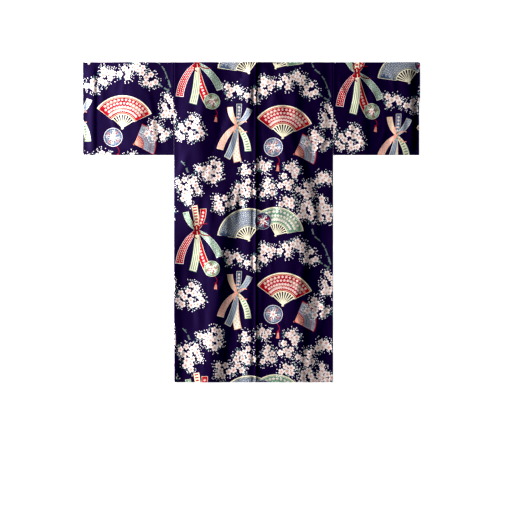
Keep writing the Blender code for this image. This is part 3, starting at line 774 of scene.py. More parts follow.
class Patch:
    """A patch of the print with its own grain: along and across run over it."""

    def __init__(self, cloth, place, length, width):
        self.cloth = cloth
        self.place = place
        self.length = length
        self.width = width

    def strip(self, along, across, colour, steps=8):
        """The part between two values along and two values across, each 0 to 1."""
        start, end = along
        there = [start + (end - start) * i / steps for i in range(steps + 1)]
        back = [end - (end - start) * i / steps for i in range(steps + 1)]
        points = [self.place(share, across[0]) for share in there]
        self.cloth.add(points + [self.place(share, across[1]) for share in back], colour)

    def staggered(self, pitch, shift):
        """Places (row, column, point) in rows. Every other row is moved along."""
        rows = max(1, int(self.width / pitch))
        columns = max(1, int(self.length / pitch))
        for row in range(rows):
            for column in range(columns):
                along = (column + 0.5 + shift * (row % 2)) / (columns + 0.5)
                yield row, column, self.place(along, (row + 0.5) / rows)

    def dots(self, radius, pitch, colour):
        for _, _, point in self.staggered(pitch, 0.5):
            self.cloth.disc(*point, radius, colour)

    def blossoms(self, radius, pitch):
        for row, column, point in self.staggered(pitch, 0.45):
            add_blossom(self.cloth, *point, radius, column * 1.3 + row, detail=False)

    def bars(self, count, share, colour):
        for number in range(count):
            start = (number + 0.5 - share / 2) / count
            self.strip((start, start + share / count), (0.12, 0.88), colour, 1)

    def lines(self, count, share, colour, along=(0.02, 0.98)):
        for number in range(count):
            start = (number + 0.5 - share / 2) / count
            self.strip(along, (start, start + share / count), colour)

    def waves(self, columns, rows, colours):
        """Rows of scallops, each one over the row before it."""
        angles = [math.pi * step / 8 for step in range(9)]
        for row in range(rows):
            for column in range(columns):
                middle = (column + 0.5 + 0.5 * (row % 2)) / (columns + 0.5)
                for share, colour in zip((1.0, 0.66, 0.34), colours):
                    points = []
                    for angle in angles:
                        along = middle + math.cos(angle) * share * 0.5 / columns
                        across = row / rows + math.sin(angle) * share * 0.98 / rows
                        points.append(self.place(within_patch(along), min(across, 1.0)))
                    self.cloth.add(points, colour)

    def lattice(self, columns, rows, colour):
        """Fine crossing lines."""
        for number in range(columns + 1):
            middle = number / columns
            for lean in (-1.0, 0.0, 1.0):
                low = self.place(within_patch(middle - lean / columns), 0.04)
                high = self.place(within_patch(middle + lean / columns), 0.96)
                self.cloth.bar(low, high, 0.0007, 0.0007, colour)
        for row in range(1, rows):
            for column in range(columns):
                start = self.place((column + 0.04) / columns, row / rows)
                end = self.place((column + 0.96) / columns, row / rows)
                self.cloth.bar(start, end, 0.0007, 0.0007, colour)

    def fill(self, pattern, colours):
        """One of the small traditional patterns, in the given colours."""
        if pattern == "dots":
            self.dots(0.0022, 0.0085, colours[0])
        elif pattern == "blossoms":
            self.blossoms(0.0062, 0.0145)
        elif pattern == "bars":
            self.bars(max(3, int(self.length / 0.012)), 0.45, colours[0])
        elif pattern == "lines":
            self.lines(3, 0.4, colours[0])
        elif pattern == "waves":
            self.waves(max(2, int(self.length / 0.018)), max(2, int(self.width / 0.008)), colours)
        elif pattern == "lattice":
            columns, rows = max(3, int(self.length / 0.014)), max(2, int(self.width / 0.010))
            self.lattice(columns, rows, colours[0])


WHOLE = (0.0, 1.0)  # from one end or side of a patch to the other


def ribbon_place(start, bend, end, widths):
    """The grain of a curved ribbon from start to end."""
    start, bend, end = (np.array(point) for point in (start, bend, end))

    def place(along, across):
        middle = (1 - along) ** 2 * start + 2 * along * (1 - along) * bend + along**2 * end
        ahead = (1 - along) * (bend - start) + along * (end - bend)
        ahead = ahead / np.linalg.norm(ahead)
        aside = np.array([-ahead[1], ahead[0]])
        width = np.interp(along, np.linspace(0.0, 1.0, len(widths)), widths)
        return middle + aside * width * (across - 0.5)

    return place


def add_ribbon(cloth, points, widths, colour, trim, pattern, colours):
    start, bend, end = points
    length = np.linalg.norm(bend - start) + np.linalg.norm(end - bend)
    patch = Patch(cloth, ribbon_place(start, bend, end, widths), length, max(widths))
    patch.strip(WHOLE, WHOLE, trim, 12)
    patch.strip((0.0, 0.985), (0.06, 0.94), colour, 12)
    patch.strip((0.0, 0.95), (0.46, 0.54), colour * 0.7, 12)
    inner = Patch(
        cloth,
        lambda along, across: patch.place(0.12 + 0.86 * along, 0.12 + 0.76 * across),
        length * 0.86,
        max(widths) * 0.76,
    )
    inner.fill(pattern, colours)


Ribbon = namedtuple("Ribbon", "angle bow reach width colour trim pattern colours")
CORD_ENDS = ((0.9, 0.17), (-0.9, 0.15), (2.3, 0.14), (-2.3, 0.16))  # lean and reach


def add_bundle(cloth, x, y, turn, size, ribbons, knot):
    """Long ribbons tied together at one place, flaring above and below the knot."""
    for ribbon in (Ribbon(*row) for row in ribbons):
        bend = away(0.0, 0.0, ribbon.reach * 0.55, ribbon.angle + ribbon.bow)
        end = away(0.0, 0.0, ribbon.reach, ribbon.angle)
        points = turned([(0.0, 0.0), bend, end], turn, x, y)
        widths = [ribbon.width * share for share in (0.38, 0.85, 1.0, 1.05)]
        add_ribbon(cloth, points, widths, *ribbon[4:])
    for offset, colour in zip((-0.24, 0.24), knot):
        ends = [(offset * size * 0.1, -size * 0.075), (offset * size * 0.1, size * 0.075)]
        cloth.bar(*turned(ends, turn, x, y), size * 0.036, size * 0.036, colour)
    for lean, reach in CORD_ENDS:
        reach = size * reach
        bend = away(0.0, 0.0, reach, lean)
        end = (reach * 1.5 * math.cos(lean * 0.7), reach * math.sin(lean * 0.7))
        points = turned([(0.0, 0.0), bend, end], turn, x, y)
        cord = Patch(cloth, ribbon_place(*points, (0.004, 0.005, 0.004)), reach, 0.005)
        cord.strip(WHOLE, WHOLE, knot[0])


# Bands over a fan's leaf, as (start, end) along it and (low, high) across it
MIST_BANDS = (
    ((0.04, 0.40), (0.20, 0.32)),
    ((0.24, 0.62), (0.32, 0.42)),
    ((0.56, 0.96), (0.56, 0.68)),
    ((0.66, 0.88), (0.46, 0.56)),
    ((0.12, 0.34), (0.68, 0.78)),
)
FAN_RIBS = 9
FAN_PLEATS = 18


def add_mist(cloth, leaf, colour):
    """Long bands with round ends, as drifting mist is drawn."""
    for (start, end), (low, high) in MIST_BANDS:
        leaf.strip((start, end), (low, high), colour)
        for along in (start, end):
            point = leaf.place(along, (low + high) / 2)
            cloth.disc(*point, leaf.width * (high - low) / 2, colour, 12)


def add_fan(cloth, x, y, radius, turn, spread, colour, trim, pattern, colours, ribs):
    """An open folding fan. The leaf's pleats have two tones, and the ribs meet at x, y."""

    def place(along, across):
        angle = turn + (along - 0.5) * spread
        return np.array(away(x, y, radius * (0.40 + 0.60 * across), angle))

    for number in range(FAN_RIBS):
        angle = turn + ((number + 0.5) / FAN_RIBS - 0.5) * spread
        start = away(x, y, -radius * 0.05, angle)
        end = away(x, y, radius * 0.42, angle)
        cloth.bar(start, end, radius * 0.018, radius * 0.042, ribs)
    leaf = Patch(cloth, place, radius * 0.75 * spread, radius * 0.60)
    leaf.strip(WHOLE, WHOLE, trim, FAN_PLEATS)
    leaf.strip((0.01, 0.99), (0.05, 0.93), colour, FAN_PLEATS)
    for number in range(0, FAN_PLEATS, 2):
        start = 0.01 + number * 0.98 / FAN_PLEATS
        end = 0.01 + (number + 1) * 0.98 / FAN_PLEATS
        leaf.strip((start, end), (0.05, 0.93), colour * 0.82, 1)
    add_mist(cloth, leaf, colour * 0.55 + trim * 0.30)
    for across in (0.09, 0.875):
        leaf.strip((0.012, 0.988), (across, across + 0.02), trim, FAN_PLEATS)
    inner = Patch(
        cloth,
        lambda along, across: place(0.05 + 0.90 * along, 0.14 + 0.72 * across),
        radius * 0.68 * spread,
        radius * 0.43,
    )
    inner.fill(pattern, colours)
    cloth.disc(x, y, radius * 0.035, trim, 8)


def add_tassel(cloth, x, y, radius, colours):
    """A cord that hangs from a thread ball, with a fringe at its end."""
    length = radius * 2.1
    points = [(x + radius * 0.2, y + radius * 0.8), (x + radius * 0.9, y + radius * 1.4),
              (x + radius * 0.5, y + radius * 0.9 + length * 0.45)]
    cord = Patch(cloth, ribbon_place(*points, (0.0022, 0.0022)), length, 0.002)
    cord.strip(WHOLE, WHOLE, colours[0])
    top = np.array(points[2])
    bend, end = top + (0.0, length * 0.15), top + (-0.002, length * 0.34)
    grain = ribbon_place(top, bend, end, (0.006, 0.010, 0.014))
    fringe = Patch(cloth, grain, length * 0.34, 0.012)
    fringe.strip(WHOLE, WHOLE, colours[1])
    fringe.lines(4, 0.3, colours[0], (0.15, 0.98))
    cloth.disc(*top, 0.0048, colours[0], 8)


BALL_STEPS = 9


def lens(radius, width):
    """A pointed band across a thread ball."""
    points = []
    for side, steps in ((1, range(BALL_STEPS + 1)), (-1, range(BALL_STEPS - 1, 0, -1))):
        for step in steps:
            share = step / BALL_STEPS
            points.append((radius * 0.94 * (2 * share - 1),
                           side * radius * width * math.sin(math.pi * share)))
    return points


def add_ball(cloth, x, y, radius, turn, colour, bands, tassel):
    """A thread ball with crossing bands of silk, a blossom in its middle and a tassel."""
    if tassel:
        add_tassel(cloth, x, y, radius, tassel)
    cloth.disc(x, y, radius, bands[0], 28)
    cloth.disc(x, y, radius * 0.95, colour, 28)
    for number in range(6):
        angle = turn + math.pi * number / 6.0
        for width, tone in ((0.20, bands[number % len(bands)]), (0.09, colour)):
            cloth.add(turned(lens(radius, width), angle, x, y), tone)
    for number in range(12):
        angle = turn + math.pi * (number + 0.5) / 6.0
        knot = away(x, y, radius * 0.72, angle)
        cloth.disc(*knot, radius * 0.055, bands[(number + 1) % len(bands)], 6)
    add_blossom(cloth, x, y, radius * 0.42, turn, detail=False)


DOWN = math.pi / 2  # the print's own angles turn from across to down
RED_BUNDLE = (
    (DOWN - 2.75, 0.30, 0.095, 0.026, RED, CREAM, "blossoms", ()),
    (DOWN + 2.70, -0.34, 0.090, 0.024, SAGE, CREAM, "waves", (PALE_SAGE, SAGE, WHITE)),
    (DOWN + 3.14, 0.10, 0.105, 0.026, CREAM, SALMON, "bars", (RED,)),
    (DOWN - 0.62, -0.32, 0.150, 0.030, SAGE, WHITE, "lattice", (WHITE,)),
    (DOWN + 0.58, 0.36, 0.160, 0.032, RED, WHITE, "dots", (WHITE,)),
    (DOWN - 0.20, 0.22, 0.190, 0.034, RED, CREAM, "blossoms", ()),
    (DOWN + 0.20, -0.15, 0.175, 0.032, CREAM, SAGE, "lines", (SAGE,)),
)
BLUE_BUNDLE = (
    (DOWN - 2.60, 0.28, 0.088, 0.024, PALE_BLUE, CREAM, "dots", (BLUE_GREY,)),
    (DOWN + 2.66, -0.28, 0.084, 0.024, CREAM, SALMON, "lines", (SALMON,)),
    (DOWN + 3.12, 0.10, 0.092, 0.022, BLUE_GREY, CREAM, "blossoms", ()),
    (DOWN - 0.52, -0.34, 0.120, 0.028, CREAM, SAGE, "bars", (SAGE,)),
    (DOWN + 0.50, 0.34, 0.125, 0.028, SALMON, CREAM, "lattice", (WHITE,)),
    (DOWN - 0.14, 0.20, 0.155, 0.032, CREAM, SALMON, "waves", (WHITE, CREAM, SALMON)),
    (DOWN + 0.18, -0.18, 0.145, 0.028, PALE_BLUE, CREAM, "lines", (BLUE_GREY,)),
)


def add_ornaments(cloth):
    """Tied ribbons, folding fans and thread balls between the blossoms."""
    add_bundle(cloth, 0.098, 0.005, -0.10, 0.26, RED_BUNDLE, (DEEP_RED, RED))
    add_ball(cloth, 0.162, 0.168, 0.034, 0.3, SAGE, (CREAM, WHITE, RED), (RED, SALMON))
    add_fan(cloth, 0.318, 0.046, 0.135, -DOWN - 0.35, 2.15, BLUE_GREY, CREAM, "waves",
            (PALE_BLUE, NAVY, WHITE), CREAM)
    add_fan(cloth, 0.432, 0.026, 0.120, -DOWN + 0.42, 2.00, SAGE, CREAM, "blossoms", (), CREAM)
    add_ball(cloth, 0.378, -0.034, 0.036, 0.1, NAVY, (PALE_BLUE, WHITE, RED), None)
    add_bundle(cloth, 0.268, 0.270, 0.12, 0.22, BLUE_BUNDLE, (SALMON, SAGE))
    add_fan(cloth, 0.462, 0.322, 0.138, -DOWN + 0.10, 2.05, RED, CREAM, "blossoms", (), CREAM)
    add_ball(cloth, 0.422, 0.362, 0.040, 0.2, BLUE_GREY, (WHITE, SALMON, PALE_BLUE),
             (RED, SALMON))
    add_fan(cloth, 0.512, 0.392, 0.094, -0.35, 1.70, PALE_BLUE, RED, "dots", (BLUE_GREY,),
            SALMON)


def draw_print():
    """One repeat of the print. Across runs right and down runs from the shoulder."""
    rng = random.Random(PRINT_SEED)
    cloth = Print()
    add_twigs(cloth, rng)
    add_ornaments(cloth)
    add_clusters(cloth, rng)
    return cloth.shapes


# Cutting the cloth

Panel = namedtuple(
    "Panel",
    "name outline place print_x print_y wall cell hidden_cell over_shoulder turned_ends",
)
FINE_NEAR_EDGE = np.array((0.0012, 0.0026, 0.0044, 0.0066))  # in from a turned edge
FINE_OVER_SHOULDER = np.linspace(-0.0105, 0.0165, 13)
FINE_ROOM = 0.0018  # the even grid keeps this far from the finer places
GRID_MARGIN = 0.0008
OUTLINE_SPACING = 0.7  # of the cell
RIM_ROUNDING = (0.8, 0.6)  # shares of the face's direction and the rim's own at an edge


def extent(panel):
    """Lowest and highest flat places of a panel."""
    return np.min(panel.outline, axis=0), np.max(panel.outline, axis=0)


def even_points(start, end, spacing):
    """Points from start up to but without end."""
    start, end = np.array(start, float), np.array(end, float)
    count = max(1, int(round(np.linalg.norm(end - start) / spacing)))
    return [start + (end - start) * i / count for i in range(count)]


def inside(corners, points, margin):
    """Which points lie inside a closed outline by more than margin."""
    within = np.zeros(len(points), bool)
    nearest = np.full(len(points), np.inf)
    x, y = points[:, 0], points[:, 1]
    for (ax, ay), (bx, by) in edges_of(corners):
        span = by - ay if by != ay else 1.0
        within ^= ((ay > y) != (by > y)) & (x < ax + (y - ay) * (bx - ax) / span)
        nearest = np.minimum(nearest, edge_distance((ax, ay), (bx, by), x, y))
    return within & (nearest > margin)


def fine_places(panel, axis):
    """Where a panel is cut finer along an axis, as its edges turn over there."""
    low, high = extent(panel)
    return np.round(np.concatenate([low[axis] + FINE_NEAR_EDGE, high[axis] - FINE_NEAR_EDGE]), 6)


def grid_points(panel, cell):
    """A grid over the outline, finer across its turned edges."""
    low, high = extent(panel)
    places = []
    for axis in (0, 1):
        even = np.arange(low[axis] + cell / 2, high[axis], cell)
        fine = fine_places(panel, axis) if axis == 0 or panel.turned_ends else np.zeros(0)
        if axis == 1 and panel.over_shoulder:
            fine = np.concatenate([fine, SHOULDER_Y + FINE_OVER_SHOULDER])
        apart = [np.min(np.abs(fine - place), initial=1.0) > FINE_ROOM for place in even]
        places.append(np.concatenate([even[apart], fine]))
    across, along = np.meshgrid(*places)
    points = np.stack([across.ravel(), along.ravel()], axis=1)
    return points[inside(panel.outline, points, GRID_MARGIN)]


def grid_lines(panel):
    """Straight lines beside turned edges that the panel's triangles keep to."""
    low, high = extent(panel)
    lines = []
    if panel.over_shoulder:
        lines += [((x, low[1]), (x, high[1])) for x in fine_places(panel, 0)]
    if panel.turned_ends:
        lines += [((low[0], v), (high[0], v)) for v in fine_places(panel, 1)]
    return lines


def triangulate(loop, points, shapes, lines):
    """Triangles over the loop that keep to the outlines of the shapes. Gives the points,
    the triangles, the number of each triangle's topmost shape, 0 for none, and where each
    point comes from."""
    coordinates = [Vector(point) for point in loop]
    faces = [list(range(len(loop)))]
    for shape in shapes:
        first = len(coordinates)
        coordinates += [Vector(point) for point in anticlockwise(shape.points.tolist())]
        faces.append(list(range(first, len(coordinates))))
    coordinates += [Vector(point) for point in points]
    edges = []
    for start, end in lines:
        edges.append((len(coordinates), len(coordinates) + 1))
        coordinates += [Vector(start), Vector(end)]
    made, _, faces_made, sources, _, shapes_over = delaunay_2d_cdt(
        coordinates, edges, faces, 1, 1e-6, True
    )
    kept = [(face, max(over)) for face, over in zip(faces_made, shapes_over) if 0 in over]
    used, triangles = np.unique(np.array([face for face, _ in kept]), return_inverse=True)
    corners = np.array([tuple(made[number]) for number in used])
    numbers = np.array([number for _, number in kept])
    return corners, triangles.reshape(-1, 3), numbers, [sources[number] for number in used]


def rim_of(triangles):
    """The points round the edge of a sheet of triangles, in order."""
    edges = dict.fromkeys(
        edge for a, b, c in triangles.tolist() for edge in ((a, b), (b, c), (c, a))
    )
    following = {start: end for start, end in edges if (end, start) not in edges}
    rim = [next(iter(following))]
    while following[rim[-1]] != rim[0]:
        rim.append(following[rim[-1]])
    return np.array(rim)


def repeats_over(low, high, size):
    """Numbers of the repeats that a stretch of cloth may touch."""
    return range(math.floor(low / size) - 1, math.floor(high / size) + 2)


def panel_shapes(panel, shapes):
    """The print's shapes that fall on a panel, in its own flat sizes."""
    low, high = extent(panel)
    left, right = low[0] + panel.print_x, high[0] + panel.print_x
    upper, lower = panel.print_y - high[1], panel.print_y - low[1]
    shifts = [
        np.array([column * REPEAT_WIDTH, row * REPEAT_LENGTH])
        for column in repeats_over(left, right, REPEAT_WIDTH)
        for row in repeats_over(upper, lower, REPEAT_LENGTH)
    ]
    found = []
    for shape in shapes:
        for shift in shifts:
            x, y = (shape.points + shift).T
            if max(x) < left or min(x) > right or max(y) < upper or min(y) > lower:
                continue
            on_panel = np.stack([x - panel.print_x, panel.print_y - y], axis=1)
            centre = (shape.centre[0] + shift[0] - panel.print_x,
                      panel.print_y - shape.centre[1] - shift[1])
            found.append(shape._replace(points=on_panel, centre=centre))
    return found


def unit(vectors):
    return vectors / np.linalg.norm(vectors, axis=-1)[..., None]


def surface_at(panel, flat):
    """Places and outward directions of the wall's middle at flat places."""
    low, high = extent(panel)
    step = 0.0002
    x, v = flat[:, 0], flat[:, 1]
    across = panel.place(np.minimum(x + step, high[0]), v)
    across = across - panel.place(np.maximum(x - step, low[0]), v)
    along = panel.place(x, np.minimum(v + step, high[1]))
    along = along - panel.place(x, np.maximum(v - step, low[1]))
    return panel.place(x, v), unit(np.cross(across, along))


def print_colours(corners, numbers, shapes):
    """The colour at each triangle's corners, from its topmost shape."""
    shapes = [Shape(None, INDIGO, INDIGO, (0.0, 0.0), 1.0)] + shapes
    colour = np.array([shape.colour for shape in shapes])[numbers][:, None, :]
    edge_colour = np.array([shape.edge_colour for shape in shapes])[numbers][:, None, :]
    centre = np.array([shape.centre for shape in shapes])[numbers][:, None, :]
    radius = np.array([shape.radius for shape in shapes])[numbers][:, None]
    share = np.clip(np.linalg.norm(corners - centre, axis=2) / radius, 0.0, 1.0)[:, :, None]
    return colour * (1.0 - share) + edge_colour * share


def cut_panel(panel, shapes):
    """The closed shell of one panel: printed outer face, plain inner face and rim."""
    drawn = panel_shapes(panel, shapes)
    lines = grid_lines(panel)
    loop = []
    for start, end in edges_of(panel.outline):
        loop += even_points(start, end, panel.cell * OUTLINE_SPACING)
    grid = grid_points(panel, panel.cell)
    outer, outer_triangles, numbers, _ = triangulate(loop, grid, drawn, lines)
    rim_outer = rim_of(outer_triangles)
    size = len(rim_outer)
    grid = grid_points(panel, panel.hidden_cell)
    inner, inner_triangles, _, origins = triangulate(outer[rim_outer], grid, [], lines)
    inner_of_rim = {source: number for number, sources in enumerate(origins)
                    for source in sources if source < size}

    # Points of the outer face, then of the inner one, then round the rim's middle
    outer_middle, outer_normal = surface_at(panel, outer)
    inner_middle, inner_normal = surface_at(panel, inner)
    rim_middle = outer_middle[rim_outer]
    ahead = np.roll(rim_middle, -1, axis=0) - np.roll(rim_middle, 1, axis=0)
    outward = unit(np.cross(ahead, outer_normal[rim_outer]))
    half = panel.wall / 2
    vertices = np.concatenate([
        outer_middle + outer_normal * half,
        inner_middle - inner_normal * half,
        rim_middle + outward * EDGE_BULGE,
    ])
    flat = np.concatenate([outer, inner, outer[rim_outer]])
    normals = np.concatenate([outer_normal, -inner_normal, outward])
    rim_inner = np.array([inner_of_rim[i] for i in range(size)]) + len(outer)
    rim_from = len(outer) + len(inner)
    rim_mid = np.arange(size) + rim_from

    after = np.roll(np.arange(size), -1)
    rim = np.concatenate([
        np.stack([rim_outer[after], rim_outer, rim_mid], axis=1),
        np.stack([rim_outer[after], rim_mid, rim_mid[after]], axis=1),
        np.stack([rim_mid[after], rim_mid, rim_inner], axis=1),
        np.stack([rim_mid[after], rim_inner, rim_inner[after]], axis=1),
    ])
    triangles = np.concatenate([outer_triangles, inner_triangles[:, ::-1] + len(outer), rim])

    # The rim is shaded round, from the faces' directions to its own
    rim_outward = np.zeros((len(vertices), 3))
    for points in (rim_outer, rim_inner, rim_mid):
        rim_outward[points] = outward
    rounded = normals[rim] * RIM_ROUNDING[0] + rim_outward[rim] * RIM_ROUNDING[1]
    rim_normals = np.where((rim < rim_from)[:, :, None], rounded, normals[rim])
    corner_normals = np.concatenate([normals[triangles[:-len(rim)]], rim_normals])

    # The print runs on to the rim's middle, and the rest is the ground's indigo
    outer_colours = print_colours(outer[outer_triangles], numbers, drawn)
    dye = np.tile(INDIGO, (len(vertices), 1))
    dye[outer_triangles.ravel()] = outer_colours.reshape(-1, 3)
    dye[rim_mid] = dye[rim_outer]
    inner_colours = np.tile(INDIGO, (len(inner_triangles), 3, 1))
    colours = np.concatenate([outer_colours, inner_colours, dye[rim]])
    slots = np.zeros(len(triangles), np.int32)
    slots[len(outer_triangles):-len(rim)] = 1
    return make_cloth(panel.name + "_cloth", vertices, triangles, flat, corner_normals, colours,
                      slots)


def add_object(name, data):
    """A new object in the scene."""
    added = bpy.data.objects.new(name, data)
    bpy.context.scene.collection.objects.link(added)
    return added


def make_cloth(name, vertices, triangles, flat, corner_normals, colours, slots):
    mesh = bpy.data.meshes.new(name)
    mesh.from_pydata(vertices.tolist(), [], triangles.tolist())
    mesh.polygons.foreach_set("material_index", slots)
    mesh.polygons.foreach_set("use_smooth", np.ones(len(triangles), bool))
    flat_map = mesh.uv_layers.new(name="flat_cloth")
    flat_map.data.foreach_set("uv", flat[triangles].astype(np.float32).ravel())
    dye = mesh.color_attributes.new("dye", "FLOAT_COLOR", "CORNER")
    rgba = np.ones((len(triangles) * 3, 4), np.float32)
    rgba[:, :3] = colours.reshape(-1, 3)
    dye.data.foreach_set("color", rgba.ravel())
    mesh.normals_split_custom_set(unit(corner_normals).reshape(-1, 3).tolist())
    mesh.update()
    return add_object(name, mesh)


def body_outline(side):
    side_x = SIDE_X[side]
    seam_x = CENTRE_X - INWARD[side] * SEWN_GAP / 2
    neck_x = CENTRE_X - INWARD[side] * (NECK_HALF_WIDTH + SEWN_GAP)
    return anticlockwise([
        (side_x, HEM_Y), (seam_x, HEM_Y), (seam_x, SHOULDER_Y), (neck_x, SHOULDER_Y),
        (seam_x, SHOULDER_Y + OVERLAP_DROP), (seam_x, FRONT_END_V), (side_x, FRONT_END_V),
    ])


def sleeve_outline(side):
    low, high = sorted((CUFF_X[side], SIDE_X[side] - INWARD[side] * SEWN_GAP / 2))
    return [(low, SLEEVE_BOTTOM_Y), (high, SLEEVE_BOTTOM_Y), (high, SLEEVE_END_V),
            (low, SLEEVE_END_V)]


def overlap_outline(side):
    top = SHOULDER_Y + OVERLAP_DROP + SEWN_GAP * NECKLINE_RUN
    near, far = SEWN_GAP / 2, OVERLAP_WIDTH
    near_x, far_x = CENTRE_X + INWARD[side] * near, CENTRE_X + INWARD[side] * far
    return anticlockwise([
        (near_x, top + near * NECKLINE_SLOPE), (far_x, top + far * NECKLINE_SLOPE),
        (far_x, FRONT_END_V), (near_x, FRONT_END_V),
    ])


# Spacing of the triangles' points on the outer face and on the hidden one
BODY_CELLS = (0.0100, 0.0180)
SLEEVE_CELLS = (0.0085, 0.0150)
COLLAR_CELLS = (0.0090, 0.0150)
SLEEVE_PRINT_LIFT = {"left": 0.042, "right": -0.042}
OVERLAP_PRINT_SHIFT = (0.21, 0.33)
COLLAR_PRINT_PLACE = (0.13, 0.50)


def make_panels():
    """Every strip, with its place in the print's repeat."""
    print_x = -SIDE_X["left"]
    panels = []
    for side in ("left", "right"):
        panels += [
            Panel("body_" + side, body_outline(side), partial(place_body, side),
                  print_x, SHOULDER_Y, CLOTH, *BODY_CELLS, True, False),
            Panel("sleeve_" + side, sleeve_outline(side), partial(place_sleeve, side),
                  print_x, SHOULDER_Y + SLEEVE_PRINT_LIFT[side], CLOTH, *SLEEVE_CELLS, True, True),
            Panel("overlap_" + side, overlap_outline(side), partial(place_overlap, side),
                  print_x + OVERLAP_PRINT_SHIFT[0], SHOULDER_Y + OVERLAP_PRINT_SHIFT[1],
                  CLOTH, *BODY_CELLS, False, False),
        ]
    band = [(0.0, 0.0), (COLLAR_LENGTH, 0.0), (COLLAR_LENGTH, COLLAR_WIDTH), (0.0, COLLAR_WIDTH)]
    panels.append(Panel("collar", band, place_collar, *COLLAR_PRINT_PLACE, COLLAR_CLOTH,
                        *COLLAR_CELLS, False, False))
    return panels


# Materials

NOISE_SPREAD = (0.3, 0.7)  # where nearly all of a noise's values lie
# How often each noise changes per metre along the flat cloth's two directions
SLUB_SCALE = (640.0, 16.0, 1.0)
PICK_SCALE = (14.0, 520.0, 1.0)
WEAR_SCALE = (9.0, 6.0, 1.0)
WARP_SCALE = 285.0
WEFT_SCALE = 262.0


def make_material(name):
    """A material with its own node tree. Gives it, its nodes, its links and its shader."""
    material = bpy.data.materials.new(name)
    material.use_nodes = True
    tree = material.node_tree
    return material, tree.nodes, tree.links, tree.nodes["Principled BSDF"]


def set_inputs(node, values):
    for socket, value in values.items():
        node.inputs[socket].default_value = value


def add_node(nodes, kind, inputs=None, **settings):
    node = nodes.new(kind)
    for name, value in settings.items():
        setattr(node, name, value)
    set_inputs(node, inputs or {})
    return node


def wire(links, *rows):
    """Links, each as (node, its output, next node, its input)."""
    for source, output, target, socket in rows:
        links.new(source.outputs[output], target.inputs[socket])


def stretched_noise(nodes, links, flat_map, scale, detail):
    mapping = add_node(nodes, "ShaderNodeMapping", {"Scale": scale})
    noise = add_node(nodes, "ShaderNodeTexNoise", {"Scale": 1.0, "Detail": detail})
    wire(links, (flat_map, "UV", mapping, "Vector"), (mapping, "Vector", noise, "Vector"))
    return noise


def object_noise(nodes, links, scale):
    place = add_node(nodes, "ShaderNodeTexCoord")
    noise = add_node(nodes, "ShaderNodeTexNoise", {"Scale": scale})
    wire(links, (place, "Object", noise, "Vector"))
    return noise


def spread(nodes, links, noise, low, high):
    """A noise's values moved to run from low to high."""
    change = add_node(nodes, "ShaderNodeMapRange", {
        "From Min": NOISE_SPREAD[0], "From Max": NOISE_SPREAD[1], "To Min": low, "To Max": high,
    })
    wire(links, (noise, "Fac", change, "Value"))
    return change.outputs["Result"]


def multiply(nodes, links, first, second):
    times = add_node(nodes, "ShaderNodeMath", operation="MULTIPLY")
    links.new(first, times.inputs[0])
    links.new(second, times.inputs[1])
    return times.outputs["Value"]


def cotton(name, strength, wash):
    """Plain-woven cotton dyed with the dye attribute. strength is how much of the dye
    shows, and wash the pale colour that the rest is."""
    material, nodes, links, shader = make_material(name)
    flat_map = add_node(nodes, "ShaderNodeUVMap", uv_map="flat_cloth")
    slubs = stretched_noise(nodes, links, flat_map, SLUB_SCALE, 2.0)
    picks = stretched_noise(nodes, links, flat_map, PICK_SCALE, 1.0)
    wear = stretched_noise(nodes, links, flat_map, WEAR_SCALE, 4.0)
    tone = multiply(nodes, links, spread(nodes, links, slubs, 0.84, 1.16),
                    spread(nodes, links, picks, 0.94, 1.06))
    tone = multiply(nodes, links, tone, spread(nodes, links, wear, 0.90, 1.10))
    dye = add_node(nodes, "ShaderNodeVertexColor", layer_name="dye")
    faded = add_node(nodes, "ShaderNodeMix", {"Factor": 1.0 - strength, "B": (*wash, 1.0)},
                     data_type="RGBA")
    tinted = add_node(nodes, "ShaderNodeVectorMath", operation="SCALE")
    links.new(tone, tinted.inputs["Scale"])
    wire(links, (dye, "Color", faded, "A"), (faded, "Result", tinted, 0),
         (tinted, "Vector", shader, "Base Color"))

    links.new(spread(nodes, links, wear, 0.52, 0.62), shader.inputs["Roughness"])
    set_inputs(shader, {
        "Specular IOR Level": 0.20,
        "Specular Tint": (*SATIN_TINT, 1.0),
        "Sheen Weight": 0.05,
        "Sheen Roughness": 0.5,
        "Sheen Tint": (*SHEEN_TINT, 1.0),
    })

    threads = []
    for direction, scale in (("X", WARP_SCALE), ("Y", WEFT_SCALE)):
        wave = add_node(nodes, "ShaderNodeTexWave",
                        {"Scale": scale, "Distortion": 0.6, "Detail": 1.0},
                        bands_direction=direction, wave_profile="SIN")
        wire(links, (flat_map, "UV", wave, "Vector"))
        threads.append(wave.outputs["Fac"])
    fine = add_node(nodes, "ShaderNodeBump", {"Strength": 0.35, "Distance": 0.00012})
    links.new(multiply(nodes, links, *threads), fine.inputs["Height"])
    coarse = add_node(nodes, "ShaderNodeBump", {"Strength": 0.5, "Distance": 0.00022})
    wire(links, (slubs, "Fac", coarse, "Height"), (fine, "Normal", coarse, "Normal"),
         (coarse, "Normal", shader, "Normal"))
    return material


def thread_material():
    """Twisted dark sewing thread."""
    material, nodes, links, shader = make_material("sewing_thread")
    noise = object_noise(nodes, links, 900.0)
    ramp = add_node(nodes, "ShaderNodeValToRGB")
    ramp.color_ramp.elements[0].color = (0.010, 0.007, 0.035, 1.0)
    ramp.color_ramp.elements[1].color = (0.030, 0.022, 0.085, 1.0)
    bump = add_node(nodes, "ShaderNodeBump", {"Distance": 0.0001})
    wire(links, (noise, "Fac", ramp, "Fac"), (ramp, "Color", shader, "Base Color"),
         (noise, "Fac", bump, "Height"), (bump, "Normal", shader, "Normal"))
    set_inputs(shader, {"Roughness": 0.6})
    return material


